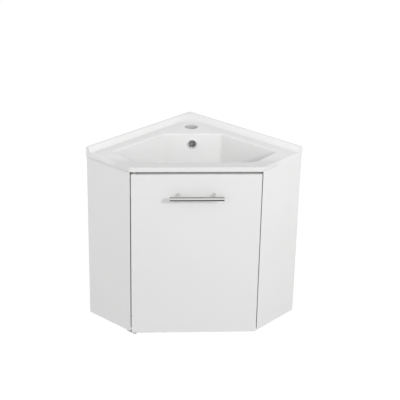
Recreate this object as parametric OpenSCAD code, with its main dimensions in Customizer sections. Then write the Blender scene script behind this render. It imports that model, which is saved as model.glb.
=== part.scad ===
// Corner vanity unit: a wall-hung corner cabinet under a one-piece basin top, with one hinged door.
// The origin is the room corner at the height of the side panels' feet.
// X runs to the right along the front, Y into the corner, Z up. The two walls lie at 45 degrees to X.

/* [Basin top] */
// Length of the basin top along each wall
wall_side = 422; // [405:1:450]
// Length of each end of the top, square to its wall
end_side = 168.5; // [162:0.5:180]
// Thickness of the slab at its front edge
slab_thick = 14; // [11:0.5:20]
// Height of the upstand above the deck
upstand_rise = 15; // [8:0.5:25]
// Flat width along the top of the upstand
upstand_top = 6; // [4:0.5:9]
// Width of the upstand's curved inner slope
upstand_slope = 15; // [8:0.5:18]
// Plan radius of the upstand's foot in the back corner
upstand_corner_r = 80; // [50:1:90]
// Plan radius of the slope's upper edge in the back corner
upstand_top_r = 18; // [4:1:40]
// Plan radius of the slab's back corner
back_corner_r = 10; // [4:0.5:14]
// Plan radius of the slab's corners at the ends of the walls
end_corner_r = 3; // [2:0.5:8]
// Plan radius of the slab's two front corners
front_corner_r = 14; // [6:0.5:24]
// Rounding along the slab's upper edges
edge_r = 3.5; // [1.5:0.25:5]

/* [Bowl] */
// Distance from each wall to the bowl's long edge
rim_wall = 52.5; // [46:0.5:60]
// Distance from the room corner to the bowl's back edge
rim_back = 158; // [150:1:170]
// Distance from each end of the top to the bowl's side tip
rim_end = 50.5; // [40:0.5:60]
// Distance from the slab's front edge to the bowl's front edge
rim_front = 39; // [32:0.5:50]
// Half the length of the bowl's straight front edge, corner to corner
rim_front_half = 160; // [140:1:165]
// Depth of the bowl below the deck
bowl_depth = 115; // [95:1:130]
// Thickness of the bowl's walls
bowl_wall = 10; // [7:0.5:12]
// Slope of the bowl's walls from upright, in degrees
bowl_draft = 3; // [1:0.5:5]
// Rounding where the bowl's walls meet its floor
floor_r = 24; // [14:1:30]
// Fall of the floor from its edge to the waste
floor_fall = 6; // [3:0.5:10]
// Rounding along the bowl's rim
rim_r = 3.5; // [1:0.25:5]

/* [Tap hole and overflow] */
// Diameter of the tap hole
tap_hole_d = 35; // [30:0.5:37]
// Distance from the room corner to the tap hole's centre
tap_from_corner = 98; // [94:1:104]
// Depth of the overflow's centre below the deck
overflow_drop = 30.5; // [28:0.5:40]
// Diameter of the overflow hole in the bowl's wall
overflow_hole_d = 23; // [18:0.5:26]
// Diameter of the overflow ring
overflow_ring_d = 30; // [28:0.5:34]
// Diameter of the opening in the overflow ring
overflow_bore_d = 20; // [14:0.5:20]

/* [Waste] */
// Distance from the room corner to the waste's centre
waste_from_corner = 262; // [250:1:275]
// Diameter of the waste's flange
flange_d = 63; // [58:0.5:68]
// Outer diameter of the waste's threaded tail
tail_d = 41.9; // [40:0.1:44]
// Wall of the waste's tail
tail_wall = 3.5; // [2:0.25:4.5]
// Length of the tail below the flange
tail_length = 66; // [55:1:80]
// Diameter of the plug's stem
stem_d = 6; // [5:0.5:8]
// How far the plug rises
plug_travel = 9; // [6:0.5:12]

/* [Cabinet] */
// Height of the side panels
carcass_h = 485; // [420:1:560]
// Thickness of the side panels and the bottom panel
panel_thick = 16; // [15:0.5:19]
// Overhang of the basin top past the side panels
overhang = 4; // [2:0.5:6]
// Thickness of the back rails
rail_thick = 16; // [14.5:0.5:19]
// Height of the upper back rails
upper_rail_h = 100; // [90:1:130]
// Height of the lower back rails
lower_rail_h = 70; // [60:1:90]
// Side of the square corner blocks
corner_block = 25; // [18:1:30]

/* [Door] */
// Thickness of the door
door_thick = 18; // [17:0.5:20]
// Distance from the slab's front edge back to the door's face
door_set_back = 2.5; // [1:0.25:4]
// Distance from each front corner of the slab in to the door's edge
door_end_inset = 3.5; // [2.5:0.25:5]
// Gap between the door's edge and the side panel
side_gap = 2.2; // [2:0.1:3]
// Gap between the slab and the door's top
top_gap = 7; // [3:0.25:9]
// How far the door hangs below the side panels
door_drop = 3; // [0:0.5:10]
// Thickness of the strips round the door's edges
edge_band = 1; // [0.5:0.25:2]

/* [Handle] */
// Diameter of the handle's bar
bar_d = 12; // [10:0.5:14]
// Length of the handle's bar
bar_length = 146; // [130:1:180]
// Distance between the handle's two posts
post_spacing = 96; // [64:1:110]
// Diameter of the posts
post_d = 9; // [8:0.5:10]
// Distance from the door's face to the bar's axis
bar_reach = 32; // [26:0.5:40]
// Depth of the bar's axis below the slab
handle_drop = 65; // [50:1:120]

/* [Pivots] */
// Distance from the door's left edge to its pivot
pivot_from_edge = 9; // [8.8:0.1:11]
// Distance from the door's face to its pivot
pivot_from_face = 5.5; // [5.3:0.1:5.7]
// Diameter of the pivot pins
pin_d = 4; // [3:0.25:4.5]
// How deep the pivot pins reach into the door
pin_in_door = 14; // [10:0.5:20]
// Thickness of the pivot plates
pivot_plate_t = 2; // [1.75:0.25:2.5]
// Width of the pivot plates
pivot_plate_w = 10; // [8:0.5:10]
// Length of the pivot plates, from the pivot
pivot_plate_l = 72; // [71:1:80]

/* [Fixings] */
// Diameter of the screw holes in the upper rails, for the wall
wall_hole_d = 8; // [5:0.5:10]
// Distance from the room corner to the nearer wall hole
wall_hole_near = 110; // [90:1:140]
// Distance from the room corner to the farther wall hole
wall_hole_far = 330; // [280:1:345]
// Diameter of the cam housings
cam_d = 15; // [12:0.5:18]
// Depth of the cam housings
cam_depth = 12.5; // [11.5:0.5:13]
// Distance from a board's end to the cam's centre
cam_from_end = 24; // [20:1:34]
// Diameter of the dowels
dowel_d = 8; // [6:0.5:9]
// Length of the dowels
dowel_length = 30; // [24:1:36]
// Depth of the dowels in the side panels
dowel_in_panel = 10; // [8:0.5:12]

/* [Hidden] */
$fn = 64;

root2 = sqrt(2);
over = 1;                     // how far a cut runs past the face it opens
snug = 0.05;                  // radial clearance of a running fit
rest_gap = 0.3;               // gap between a moving piece and what it rests on

// Heights
deck_z = carcass_h + slab_thick;
upstand_z = deck_z + upstand_rise;
floor_z = deck_z - bowl_depth;
door_top_z = carcass_h - top_gap;
door_foot_z = -door_drop;

// Plan of the top
front_y = -(wall_side + end_side) / root2;
front_half = (wall_side - end_side) / root2;
door_half = front_half - door_end_inset;
door_face_y = front_y + door_set_back;
door_back_y = door_face_y + door_thick;
panel_out = wall_side - overhang;
panel_in = panel_out - panel_thick;
bevel_x = door_half + side_gap;
waste_at = [0, -waste_from_corner];
pivot = [-door_half + pivot_from_edge, door_face_y + pivot_from_face];

// Outline of the slab, counter-clockwise from above, starting at the right wall's end
slab_outline = [
    [wall_side / root2, -wall_side / root2],
    [0, 0],
    [-wall_side / root2, -wall_side / root2],
    [-front_half, front_y],
    [front_half, front_y]
];
slab_radii = [end_corner_r, back_corner_r, end_corner_r, front_corner_r, front_corner_r];

// Outline of the bowl's rim, counter-clockwise from above, starting at the right tip
rim_back_half = rim_back - rim_wall * root2;
rim_tip = [(wall_side - rim_end - rim_wall) / root2, -(wall_side - rim_end + rim_wall) / root2];
rim_front_y = front_y + rim_front;
rim_outline = [
    rim_tip,
    [rim_back_half, -rim_back],
    [-rim_back_half, -rim_back],
    [-rim_tip[0], rim_tip[1]],
    [-rim_front_half, rim_front_y],
    [rim_front_half, rim_front_y]
];
tip_r = 8;
rim_back_r = 14;
rim_front_r = 28;
rim_radii = [tip_r, rim_back_r, rim_back_r, tip_r, rim_front_r, rim_front_r];
bowl_corner_r = 5;            // least plan radius of the bowl's corners, down to its floor
arc_steps = 6;

// ---- Plan geometry ----

function unit(v) = v / norm(v);
function left_of(v) = [-v[1], v[0]];
function edge_in(p, i) = unit(p[i] - p[(i + len(p) - 1) % len(p)]);
function edge_out(p, i) = unit(p[(i + 1) % len(p)] - p[i]);

// Corner i of the outline p with every edge moved inwards by d
function inset_corner(p, i, d) =
    let (a = left_of(edge_in(p, i)), b = left_of(edge_out(p, i)))
    p[i] + d * (a + b) / (1 + a * b);

// Points along the rounded corner i of the outline p, moved inwards by d
function corner_arc(p, i, d, r) =
    let (
        u = edge_in(p, i),
        turn = acos(u * edge_out(p, i)),
        middle = inset_corner(p, i, d) - u * r * tan(turn / 2) + left_of(u) * r,
        start = atan2(-left_of(u)[1], -left_of(u)[0])
    )
    [for (k = [0 : arc_steps]) let (a = start + turn * k / arc_steps) middle + r * [cos(a), sin(a)]];

// The rounded outline p, moved inwards by d and lifted to height z
function ring(p, radii, d, z, least = 1) = [
    for (i = [0 : len(p) - 1])
        each [for (q = corner_arc(p, i, d, max(radii[i] - d, least))) [q[0], q[1], z]]
];
function bowl_ring(d, z) = ring(rim_outline, rim_radii, d, z, bowl_corner_r);

// The points of a ring thrown onto a circle round the point c
function ring_to_circle(points, c, r, z) =
    [for (q = points) let (u = unit([q[0] - c[0], q[1] - c[1]])) [c[0] + u[0] * r, c[1] + u[1] * r, z]];

// A closed body through rings of equal length, listed from the bottom up
module loft(rings) {
    n = len(rings[0]);
    m = len(rings);
    sides = [
        for (j = [0 : m - 2], i = [0 : n - 1])
            let (a = j * n + i, b = j * n + (i + 1) % n)
            each [[a, a + n, b], [b, a + n, b + n]]
    ];
    foot = [[for (i = [0 : n - 1]) i]];
    head = [[for (i = [n - 1 : -1 : 0]) (m - 1) * n + i]];
    polyhedron(points = [for (r = rings) each r], faces = concat(foot, sides, head), convexity = 6);
}

// The left wall's frame: X runs along the wall from the corner, Y from the wall into the room
module on_left_wall() rotate(225) children();
module on_right_wall() mirror([1, 0, 0]) on_left_wall() children();
module on_both_walls() {
    on_left_wall() children();
    on_right_wall() children();
}

// ---- Basin top ----

edge_steps = [0 : 30 : 90];

// The slab's block up to the height z, with its upper edge rounded
function block_rings(z) = concat(
    [ring(slab_outline, slab_radii, edge_foot, carcass_h)],
    [ring(slab_outline, slab_radii, 0, carcass_h + edge_foot)],
    [for (a = edge_steps) ring(slab_outline, slab_radii, edge_r * (1 - cos(a)), z - edge_r * (1 - sin(a)))]
);
edge_foot = 1.2;

// The space above the deck, in front of the upstand: it runs past the ends and the front
recess_reach = 60;
recess_steps = 7;
recess_outline = [
    [(wall_side + recess_reach) / root2, -(wall_side + recess_reach) / root2],
    [0, 0],
    [-(wall_side + recess_reach) / root2, -(wall_side + recess_reach) / root2],
    [-front_half, front_y - recess_reach],
    [front_half, front_y - recess_reach]
];

// Ring of the slope at the share t of the way up it
function recess_ring(t, z) =
    let (
        d = upstand_top + upstand_slope * (1 - t),
        r = upstand_corner_r + (upstand_top_r - upstand_corner_r) * t
    )
    ring(recess_outline, [1, r + d, 1, 1, 1], d, z);
recess_rings = concat(
    [recess_ring(0, carcass_h - over)],
    [for (k = [0 : recess_steps]) recess_ring(k / recess_steps,
        deck_z + upstand_rise * (1 - cos(180 * k / recess_steps)) / 2)],
    [recess_ring(1, upstand_z + over)]
);

// The bowl's walls, floor and rim
straight_end = bowl_depth - floor_fall - floor_r;
function wall_inset(depth) = max(depth - rim_r, 0) * tan(bowl_draft);
fillet_steps = [0 : 18 : 90];
rim_steps = [0 : 30 : 90];
fillet_rings = [
    for (a = fillet_steps)
        bowl_ring(wall_inset(straight_end) + floor_r * (1 - cos(a)), deck_z - straight_end - floor_r * sin(a))
];
seat_r = flange_d / 2 + 2;
cavity_down = concat(
    [bowl_ring(-rim_r, deck_z + over)],
    [for (a = rim_steps) bowl_ring(-rim_r * (1 - sin(a)), deck_z - rim_r * (1 - cos(a)))],
    fillet_rings,
    [ring_to_circle(fillet_rings[len(fillet_rings) - 1], waste_at, seat_r, floor_z)]
);

// The bowl's outside, with a blunt chamfer under the fillet
shell_inset = wall_inset(straight_end) - bowl_wall;
shell_down = [
    bowl_ring(-bowl_wall, carcass_h + over),
    bowl_ring(shell_inset, deck_z - straight_end),
    bowl_ring(shell_inset + floor_r / 3, deck_z - straight_end - floor_r * 2 / 3 - bowl_wall / 2),
    bowl_ring(shell_inset + floor_r, floor_z - bowl_wall)
];
function upwards(rings) = [for (i = [len(rings) - 1 : -1 : 0]) rings[i]];

boss_r = 34;
boss_drop = 25;
waste_bore_r = tail_d / 2 + 1.5;
flange_recess = 3;
boss_z = floor_z - boss_drop;
duct_half = 22;
duct_back = 28;               // how far the overflow duct stands behind the rim's back edge
duct_skin = 8;
duct_bore_half = 13;
duct_rise = 14;
channel_h = 8;
channel_lift = 6;             // thickness of the duct's floor
channel_z = boss_z + channel_lift;
channel_back_y = -rim_back + duct_back - duct_skin;
channel_front_y = -rim_back + duct_skin;

module overflow_place() {
    translate([0, -rim_back - wall_inset(overflow_drop), deck_z - overflow_drop])
        rotate([90 - bowl_draft, 0, 0])
            children();
}

module duct_casing() {
    translate([-duct_half, -rim_back - duct_skin, boss_z])
        cube([2 * duct_half, duct_back + duct_skin, carcass_h + over - boss_z]);
    translate([-duct_half, -waste_from_corner, boss_z])
        cube([2 * duct_half, waste_from_corner - rim_back, floor_z - boss_z]);
}

module duct_channel() {
    top_z = deck_z - overflow_drop + duct_rise;
    translate([-duct_bore_half, channel_front_y, channel_z])
        cube([2 * duct_bore_half, channel_back_y - channel_front_y, top_z - channel_z]);
    translate([-duct_bore_half, -waste_from_corner, channel_z])
        cube([2 * duct_bore_half, channel_back_y + waste_from_corner, channel_h]);
}

module at_waste(z) translate([waste_at[0], waste_at[1], z]) children();

module deck_and_upstand() {
    loft(block_rings(deck_z));
    difference() {
        loft(block_rings(upstand_z));
        loft(recess_rings);
    }
}

// The top is one casting, made here as three bodies that meet face to face.
// Its back corner with the tap hole lies behind this line, and the bowl in front of it.
tap_margin = 8;
corner_front_y = -(tap_from_corner + tap_hole_d / 2 + tap_margin);

module corner_side() {
    translate([-wall_side, corner_front_y, carcass_h - over])
        cube([2 * wall_side, wall_side, upstand_z - carcass_h + 2 * over]);
}

module tap_corner() {
    color("white")
        difference() {
            intersection() {
                deck_and_upstand();
                corner_side();
            }
            translate([0, -tap_from_corner, carcass_h - over])
                cylinder(d = tap_hole_d, h = slab_thick + 2 * over);
        }
}

module deck_and_bowl() {
    difference() {
        union() {
            difference() {
                deck_and_upstand();
                corner_side();
            }
            loft(upwards(shell_down));
            duct_casing();
            at_waste(boss_z) cylinder(r = boss_r, h = floor_z - boss_z);
        }
        loft(upwards(cavity_down));
        at_waste(flange_foot - top_seal_h)
            cylinder(r = flange_d / 2 + flange_slack, h = bowl_depth / 2);
        at_waste(boss_z - over) cylinder(r = waste_bore_r, h = boss_drop + 2 * over);
        duct_channel();
        overflow_place()
            translate([0, 0, -(channel_back_y + rim_back) + over])
                cylinder(d = overflow_hole_d, h = duct_back);
    }
}

// The bowl's floor with the waste's boss lies below this height, and its walls above it
floor_rise = 14;
floor_top_z = floor_z + floor_rise;

module floor_side() {
    translate([-wall_side, front_y, boss_z - over])
        cube([2 * wall_side, -front_y, floor_top_z - boss_z + over]);
}

module basin_top() {
    color("white")
        difference() {
            deck_and_bowl();
            floor_side();
        }
}

module bowl_floor() {
    color("white")
        intersection() {
            deck_and_bowl();
            floor_side();
        }
}

// ---- Overflow fittings ----

ring_lip = 2.5;
ring_edge = 1;                // height of the ring's outer edge
ring_bevel = 1.5;             // width of the slope above that edge
ring_mouth = 0.8;             // width and height of the slope round the opening
ring_fit = 0.2;
sleeve_length = 9;

module overflow_ring() {
    sleeve_r = overflow_hole_d / 2 - ring_fit;
    bore_r = overflow_bore_d / 2;
    rim = overflow_ring_d / 2;
    color("silver")
        overflow_place()
            rotate_extrude()
                polygon([
                    [bore_r, -sleeve_length], [sleeve_r, -sleeve_length], [sleeve_r, 0], [rim, 0],
                    [rim, ring_edge], [rim - ring_bevel, ring_lip], [bore_r + ring_mouth, ring_lip],
                    [bore_r, ring_lip - ring_mouth]
                ]);
}

module overflow_grille() {
    hub_r = 5.6;
    hub_wall = 1.4;
    spoke = 1.6;
    depth = 3;
    back = 4.5;               // how far the grille's back lies behind the wall's face
    root = hub_r - hub_wall / 2;
    reach = sqrt(pow(overflow_bore_d / 2, 2) - pow(spoke / 2, 2)) - root;
    color("dimgray")
        overflow_place()
            translate([0, 0, -back]) {
                seal_ring(hub_r, hub_r - hub_wall, depth);
                for (a = [45 : 90 : 315])
                    rotate(a)
                        translate([root, -spoke / 2, spoke / 4]) cube([reach, spoke, depth - spoke / 2]);
            }
}

// ---- Waste ----

flange_h = 3;
flange_slack = 0.5;           // radial gap round the flange in its recess
top_seal_h = 1.5;
flange_foot = floor_z - flange_recess;
tail_r = tail_d / 2;
tail_bore_r = tail_r - tail_wall;
tail_foot = flange_foot - tail_length;
lower_seal_h = 3;
outlet_length = 30;           // free thread at the tail's foot, below a run-out groove
groove_w = 1.5;
groove_deep = 0.8;
nut_h = 8;
nut_r = 30;

module waste_body() {
    slot_w = 12;
    color("silver")
        at_waste(0)
            difference() {
                union() {
                    translate([0, 0, flange_foot]) cylinder(d = flange_d, h = flange_h);
                    translate([0, 0, tail_foot]) cylinder(r = tail_r, h = tail_length + over);
                }
                translate([0, 0, tail_foot - over])
                    cylinder(r = tail_bore_r, h = tail_length + flange_h + 2 * over);
                translate([0, 0, tail_foot + outlet_length])
                    seal_ring(tail_r + over, tail_r - groove_deep, groove_w);
                translate([0, 0, floor_z - flange_h / 2])
                    cylinder(r1 = tail_bore_r, r2 = tail_bore_r + flange_h, h = flange_h + 0.01);
                translate([-slot_w / 2, -tail_r - over, channel_z])
                    cube([slot_w, 2 * tail_r + 2 * over, channel_h]);
            }
}

module seal_ring(outer, inner, height) {
    difference() {
        cylinder(r = outer, h = height);
        translate([0, 0, -over]) cylinder(r = inner, h = height + 2 * over);
    }
}

module waste_top_seal() {
    color("dimgray")
        at_waste(flange_foot - top_seal_h) seal_ring(flange_d / 2 - 0.5, waste_bore_r + 0.5, top_seal_h);
}

module waste_lower_seal() {
    color("dimgray") at_waste(boss_z - lower_seal_h) seal_ring(nut_r - 1, tail_r + 0.02, lower_seal_h);
}

module waste_nut() {
    color("gold")
        at_waste(boss_z - lower_seal_h - nut_h)
            difference() {
                cylinder(r = nut_r, h = nut_h, $fn = 6);
                translate([0, 0, -over]) cylinder(r = tail_r + 0.02, h = nut_h + 2 * over);
            }
}

stem_r = stem_d / 2;
guide_wall = 3.5;
guide_h = 24;
guide_drop = 34;              // depth of the guide's foot below the bowl's floor
guide_foot = floor_z - guide_drop;

module plug_guide() {
    arm_w = 2.4;
    arm_h = 8;
    color("whitesmoke")
        at_waste(guide_foot)
            difference() {
                union() {
                    cylinder(r = stem_r + guide_wall, h = guide_h);
                    for (a = [0 : 120 : 240])
                        rotate(a + 90)
                            translate([0, -arm_w / 2, guide_h - arm_h])
                                cube([tail_bore_r - snug, arm_w, arm_h]);
                }
                translate([0, 0, -over]) cylinder(r = stem_r + snug, h = guide_h + 2 * over);
            }
}

plug_r = flange_d / 2 - 2.5;
plug_h = 4;
plug_foot = floor_z + rest_gap;
seal_groove = 1.6;
seal_w = 5;
seal_margin = 3;              // from the seal's groove to the plug's edge
seal_out = plug_r - seal_margin;
seal_in = seal_out - seal_w;

module plug_cap() {
    brow = 1.5;
    crown = 5;
    color("silver")
        at_waste(plug_foot)
            difference() {
                rotate_extrude()
                    polygon([
                        [0, 0], [plug_r, 0], [plug_r, plug_h * 0.4], [plug_r - brow, plug_h * 0.8],
                        [plug_r - crown, plug_h], [0, plug_h]
                    ]);
                translate([0, 0, -over]) cylinder(r = stem_r, h = plug_h / 2 + over);
                translate([0, 0, -over]) seal_ring(seal_out, seal_in, seal_groove + over);
            }
}

module plug_seal() {
    color("dimgray") at_waste(plug_foot) seal_ring(seal_out, seal_in, seal_groove);
}

// The stem stays in its guide when the plug is up
module plug_stem() {
    stem_foot = guide_foot - plug_travel / 2;
    color("gray") at_waste(stem_foot) cylinder(r = stem_r, h = plug_foot + plug_h / 2 - stem_foot);
}

// ---- Cabinet boards, in the frame of their wall ----

upper_rail_z = carcass_h - upper_rail_h;
lower_rail_z = panel_thick;
rail_mid = rail_thick / 2;
bolt_r = 3;
bolt_thread = 11;
bolt_length = cam_from_end + bolt_thread;
dowel_from_edge = 14;
rail_dowel_off = lower_rail_h / 2 - dowel_from_edge;
base_mid = panel_thick / 2;
base_dowel_at = 95;
base_bolt_off = 25;

// Where boards join the side panels: distance from the wall, and height
rail_joints = [
    [rail_mid, upper_rail_z + upper_rail_h / 2],
    [rail_mid, lower_rail_z + lower_rail_h / 2]
];
base_joints = [for (s = [-1, 1]) [base_dowel_at + s * base_bolt_off, base_mid]];
base_dowels = [[base_dowel_at, base_mid]];
rail_dowels = [for (j = rail_joints, s = [-1, 1]) [j[0], j[1] + s * rail_dowel_off]];

module along_wall(at, from) translate([from, at[0], at[1]]) rotate([0, 90, 0]) children();

module dowel_shapes() {
    for (at = concat(rail_dowels, base_dowels))
        along_wall(at, panel_in + dowel_in_panel - dowel_length) cylinder(d = dowel_d, h = dowel_length);
}

module bolt_shapes() {
    for (at = concat(rail_joints, base_joints))
        along_wall(at, panel_in + bolt_thread - bolt_length) cylinder(r = bolt_r, h = bolt_length);
}

module cam_shapes(grow) {
    for (at = rail_joints)
        translate([panel_in - cam_from_end, rail_thick - cam_depth, at[1]])
            rotate([-90, 0, 0]) cylinder(d = cam_d, h = cam_depth + grow);
    for (at = base_joints)
        translate([panel_in - cam_from_end, at[0], panel_thick - cam_depth])
            cylinder(d = cam_d, h = cam_depth + grow);
}

module board_holes() {
    dowel_shapes();
    bolt_shapes();
    cam_shapes(over);
}

module side_panel() {
    color("white")
        difference() {
            linear_extrude(carcass_h)
                polygon([
                    [panel_in, 0], [panel_out, 0],
                    [panel_out, panel_out - bevel_x * root2], [panel_in, panel_in - bevel_x * root2]
                ]);
            board_holes();
            children();
        }
}

module left_side_panel() on_left_wall() side_panel() {
    upper_plate_shape(over);
    pivot_screw_shapes();
}
module right_side_panel() on_right_wall() side_panel();

module rail(start, z, height) {
    color("white")
        difference() {
            translate([start, 0, z]) cube([panel_in - start, rail_thick, height]);
            board_holes();
            wall_holes();
        }
}

wall_hole_drop = 38;          // depth of the wall holes below the slab

module wall_holes() {
    for (x = [wall_hole_near, wall_hole_far])
        translate([x, -over, carcass_h - wall_hole_drop])
            rotate([-90, 0, 0]) cylinder(d = wall_hole_d, h = rail_thick + 2 * over);
}

module left_upper_rail() on_left_wall() rail(rail_thick, upper_rail_z, upper_rail_h);
module right_upper_rail() on_right_wall() rail(0, upper_rail_z, upper_rail_h);
module left_lower_rail() on_left_wall() rail(rail_thick, lower_rail_z, lower_rail_h);
module right_lower_rail() on_right_wall() rail(0, lower_rail_z, lower_rail_h);

module block_at(z, height) {
    color("burlywood")
        on_left_wall() translate([rail_thick, rail_thick, z]) cube([corner_block, corner_block, height]);
}

module upper_corner_block() block_at(upper_rail_z, upper_rail_h);
module lower_corner_block() block_at(lower_rail_z, lower_rail_h);

// The bottom panel's front edge clears the corner of the door that swings past it
swing_gap = 0.6;
swing_r = norm([pivot_from_edge, door_thick - pivot_from_face]);
base_front_y = pivot[1] + swing_r + swing_gap;
base_front_x = panel_in * root2 + base_front_y;
bumper_h = base_front_y - door_back_y - rest_gap;

module bottom_panel() {
    color("white")
        difference() {
            linear_extrude(panel_thick)
                polygon([
                    [0, 0], [-panel_in / root2, -panel_in / root2], [-base_front_x, base_front_y],
                    [base_front_x, base_front_y], [panel_in / root2, -panel_in / root2]
                ]);
            on_both_walls() board_holes();
            catch_screw_shapes();
        }
}

module cam_housings() {
    color("gray")
        on_both_walls()
            difference() {
                cam_shapes(0);
                bolt_shapes();
            }
}

module cam_bolts() color("silver") on_both_walls() bolt_shapes();
module dowels() color("burlywood") on_both_walls() dowel_shapes();

// ---- Door ----

handle_z = carcass_h - handle_drop;
screw_r = 2;
screw_slack = 0.25;

module door_panel() {
    color("white")
        difference() {
            translate([-door_half + edge_band, door_face_y, door_foot_z + edge_band])
                cube([2 * (door_half - edge_band), door_thick, door_top_z - door_foot_z - 2 * edge_band]);
            at_door_ends() bush_hole();
            for (s = [-1, 1])
                translate([s * post_spacing / 2, door_face_y - over, handle_z])
                    rotate([-90, 0, 0]) cylinder(r = screw_r + screw_slack, h = door_thick + 2 * over);
            strike_screw_shapes();
        }
}

module door_edge_bands() {
    height = door_top_z - door_foot_z;
    band_joint = 0.1;
    color("white")
        difference() {
            union() {
                for (z = [door_foot_z, door_top_z - edge_band])
                    translate([-door_half, door_face_y, z]) cube([2 * door_half, door_thick, edge_band]);
                for (x = [-door_half, door_half - edge_band])
                    translate([x, door_face_y, door_foot_z + edge_band + band_joint])
                        cube([edge_band, door_thick, height - 2 * edge_band - 2 * band_joint]);
            }
            at_door_ends() bush_hole();
        }
}

module door_bumpers() {
    bumper_r = 4;
    bumper_in = 34;
    color("whitesmoke")
        for (s = [-1, 1])
            translate([s * (door_half - bumper_in), door_back_y, panel_thick / 2])
                rotate([-90, 0, 0]) cylinder(r = bumper_r, h = bumper_h);
}

// ---- Handle ----

bar_y = door_face_y - bar_reach;
spigot_r = 3;
spigot_depth = 5;
post_bore = 12;

module bar_shape() {
    translate([-bar_length / 2, bar_y, handle_z]) rotate([0, 90, 0]) cylinder(d = bar_d, h = bar_length);
}

module spigots() {
    for (s = [-1, 1])
        translate([s * post_spacing / 2, bar_y + bar_d / 2 - spigot_depth, handle_z])
            rotate([-90, 0, 0]) cylinder(r = spigot_r, h = spigot_depth + over);
}

module handle_bar() {
    color("silver")
        difference() {
            bar_shape();
            spigots();
        }
}

module handle_posts() {
    color("silver")
        for (s = [-1, 1])
            difference() {
                union() {
                    difference() {
                        translate([s * post_spacing / 2, bar_y, handle_z])
                            rotate([-90, 0, 0]) cylinder(d = post_d, h = bar_reach);
                        bar_shape();
                    }
                    translate([s * post_spacing / 2, bar_y + bar_d / 2 - spigot_depth, handle_z])
                        rotate([-90, 0, 0]) cylinder(r = spigot_r, h = spigot_depth + over);
                }
                translate([s * post_spacing / 2, door_face_y - post_bore, handle_z])
                    rotate([-90, 0, 0]) cylinder(r = screw_r, h = post_bore + over);
            }
}

module handle_screws() {
    head_r = 4;
    head_h = 2.4;
    color("gray")
        for (s = [-1, 1])
            translate([s * post_spacing / 2, door_face_y - post_bore + over, handle_z])
                rotate([-90, 0, 0]) {
                    cylinder(r = screw_r, h = post_bore - over + door_thick);
                    translate([0, 0, post_bore - over + door_thick]) cylinder(r = head_r, h = head_h);
                }
}

// ---- Door catch ----

catch_x = 100;
catch_w = 44;
catch_d = 15;
catch_h = 13;
catch_screw_off = 15;
catch_screw_in = 10;
strike_h = 1.2;
strike_w = 11;
strike_screw_off = 13;
strike_screw_in = 9;
strike_screw_r = 1.4;
catch_face_y = door_back_y + strike_h + rest_gap;

module catch_screw_shapes() {
    shank_r = 1.6;
    head_r = 3;
    head_h = 3;
    for (s = [-1, 1])
        translate([catch_x + s * catch_screw_off, catch_face_y + catch_d / 2, panel_thick]) {
            translate([0, 0, -catch_screw_in]) cylinder(r = shank_r, h = catch_screw_in + catch_h);
            translate([0, 0, catch_h - head_h]) cylinder(r = head_r, h = head_h);
        }
}

module magnet_catch() {
    color("white")
        difference() {
            translate([catch_x - catch_w / 2, catch_face_y, panel_thick]) cube([catch_w, catch_d, catch_h]);
            catch_screw_shapes();
        }
}

module catch_screws() color("gray") catch_screw_shapes();

strike_z = panel_thick + catch_h / 2;

module strike_screw_shapes() {
    for (s = [-1, 1])
        translate([catch_x + s * strike_screw_off, door_back_y - strike_screw_in, strike_z])
            rotate([-90, 0, 0]) cylinder(r = strike_screw_r, h = strike_screw_in + strike_h);
}

module catch_strike() {
    color("silver")
        difference() {
            translate([catch_x - catch_w / 2, door_back_y, strike_z - strike_w / 2])
                cube([catch_w, strike_h, strike_w]);
            strike_screw_shapes();
        }
}

module strike_screws() color("gray") strike_screw_shapes();

// ---- Pivots: pins in two plates on the left side panel carry the door ----

pin_r = pin_d / 2;
bush_wall = 1.5;
bush_r = pin_r + bush_wall;
bush_depth = pin_in_door + 1;
bush_flange_r = 5;
bush_flange_t = 0.8;
tongue_z = door_foot_z - bush_flange_t - rest_gap - pivot_plate_t;
web_from_pivot = 22.5;
web_l = 3;
pivot_screw_r = 1.75;
pivot_screw_l = 20;
pivot_head_r = 3.4;
pivot_screws_at = [38, 65];

// The pivot in the left wall's frame
pivot_t = -(pivot[0] + pivot[1]) / root2;
pivot_d = (pivot[0] - pivot[1]) / root2;

module at_pivot(z) translate([pivot[0], pivot[1], z]) children();

// Each end of the door at its pivot, with Z pointing out of the door
module at_door_ends() {
    at_pivot(door_top_z) children();
    at_pivot(door_foot_z) mirror([0, 0, 1]) children();
}

// A bar under or on the side panel, between two distances from the pivot, in the left wall's frame
module pivot_bar(near, far, z, height) {
    translate([pivot_t - pivot_plate_w / 2, pivot_d - far, z]) cube([pivot_plate_w, far - near, height]);
}

module pivot_nose(z, height) translate([pivot_t, pivot_d, z]) cylinder(d = pivot_plate_w, h = height);

module upper_plate_shape(extra) {
    z = carcass_h - pivot_plate_t;
    pivot_bar(0, pivot_plate_l, z, pivot_plate_t + extra);
    pivot_nose(z, pivot_plate_t + extra);
}

// The lower plate steps down from the panel's foot to the tongue under the door
module lower_plate_shape() {
    pivot_bar(web_from_pivot, pivot_plate_l, -pivot_plate_t, pivot_plate_t);
    pivot_bar(web_from_pivot, web_from_pivot + web_l, tongue_z, -tongue_z);
    pivot_bar(0, web_from_pivot + web_l, tongue_z, pivot_plate_t);
    pivot_nose(tongue_z, pivot_plate_t);
}

module pin_shapes() {
    at_pivot(door_top_z - pin_in_door) cylinder(r = pin_r, h = top_gap + pin_in_door);
    at_pivot(tongue_z) cylinder(r = pin_r, h = door_foot_z + pin_in_door - tongue_z);
}

module countersunk_screw() {
    cylinder(r = pivot_screw_r, h = pivot_screw_l);
    cylinder(r1 = pivot_head_r, r2 = pivot_screw_r, h = pivot_head_r - pivot_screw_r);
}

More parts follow.
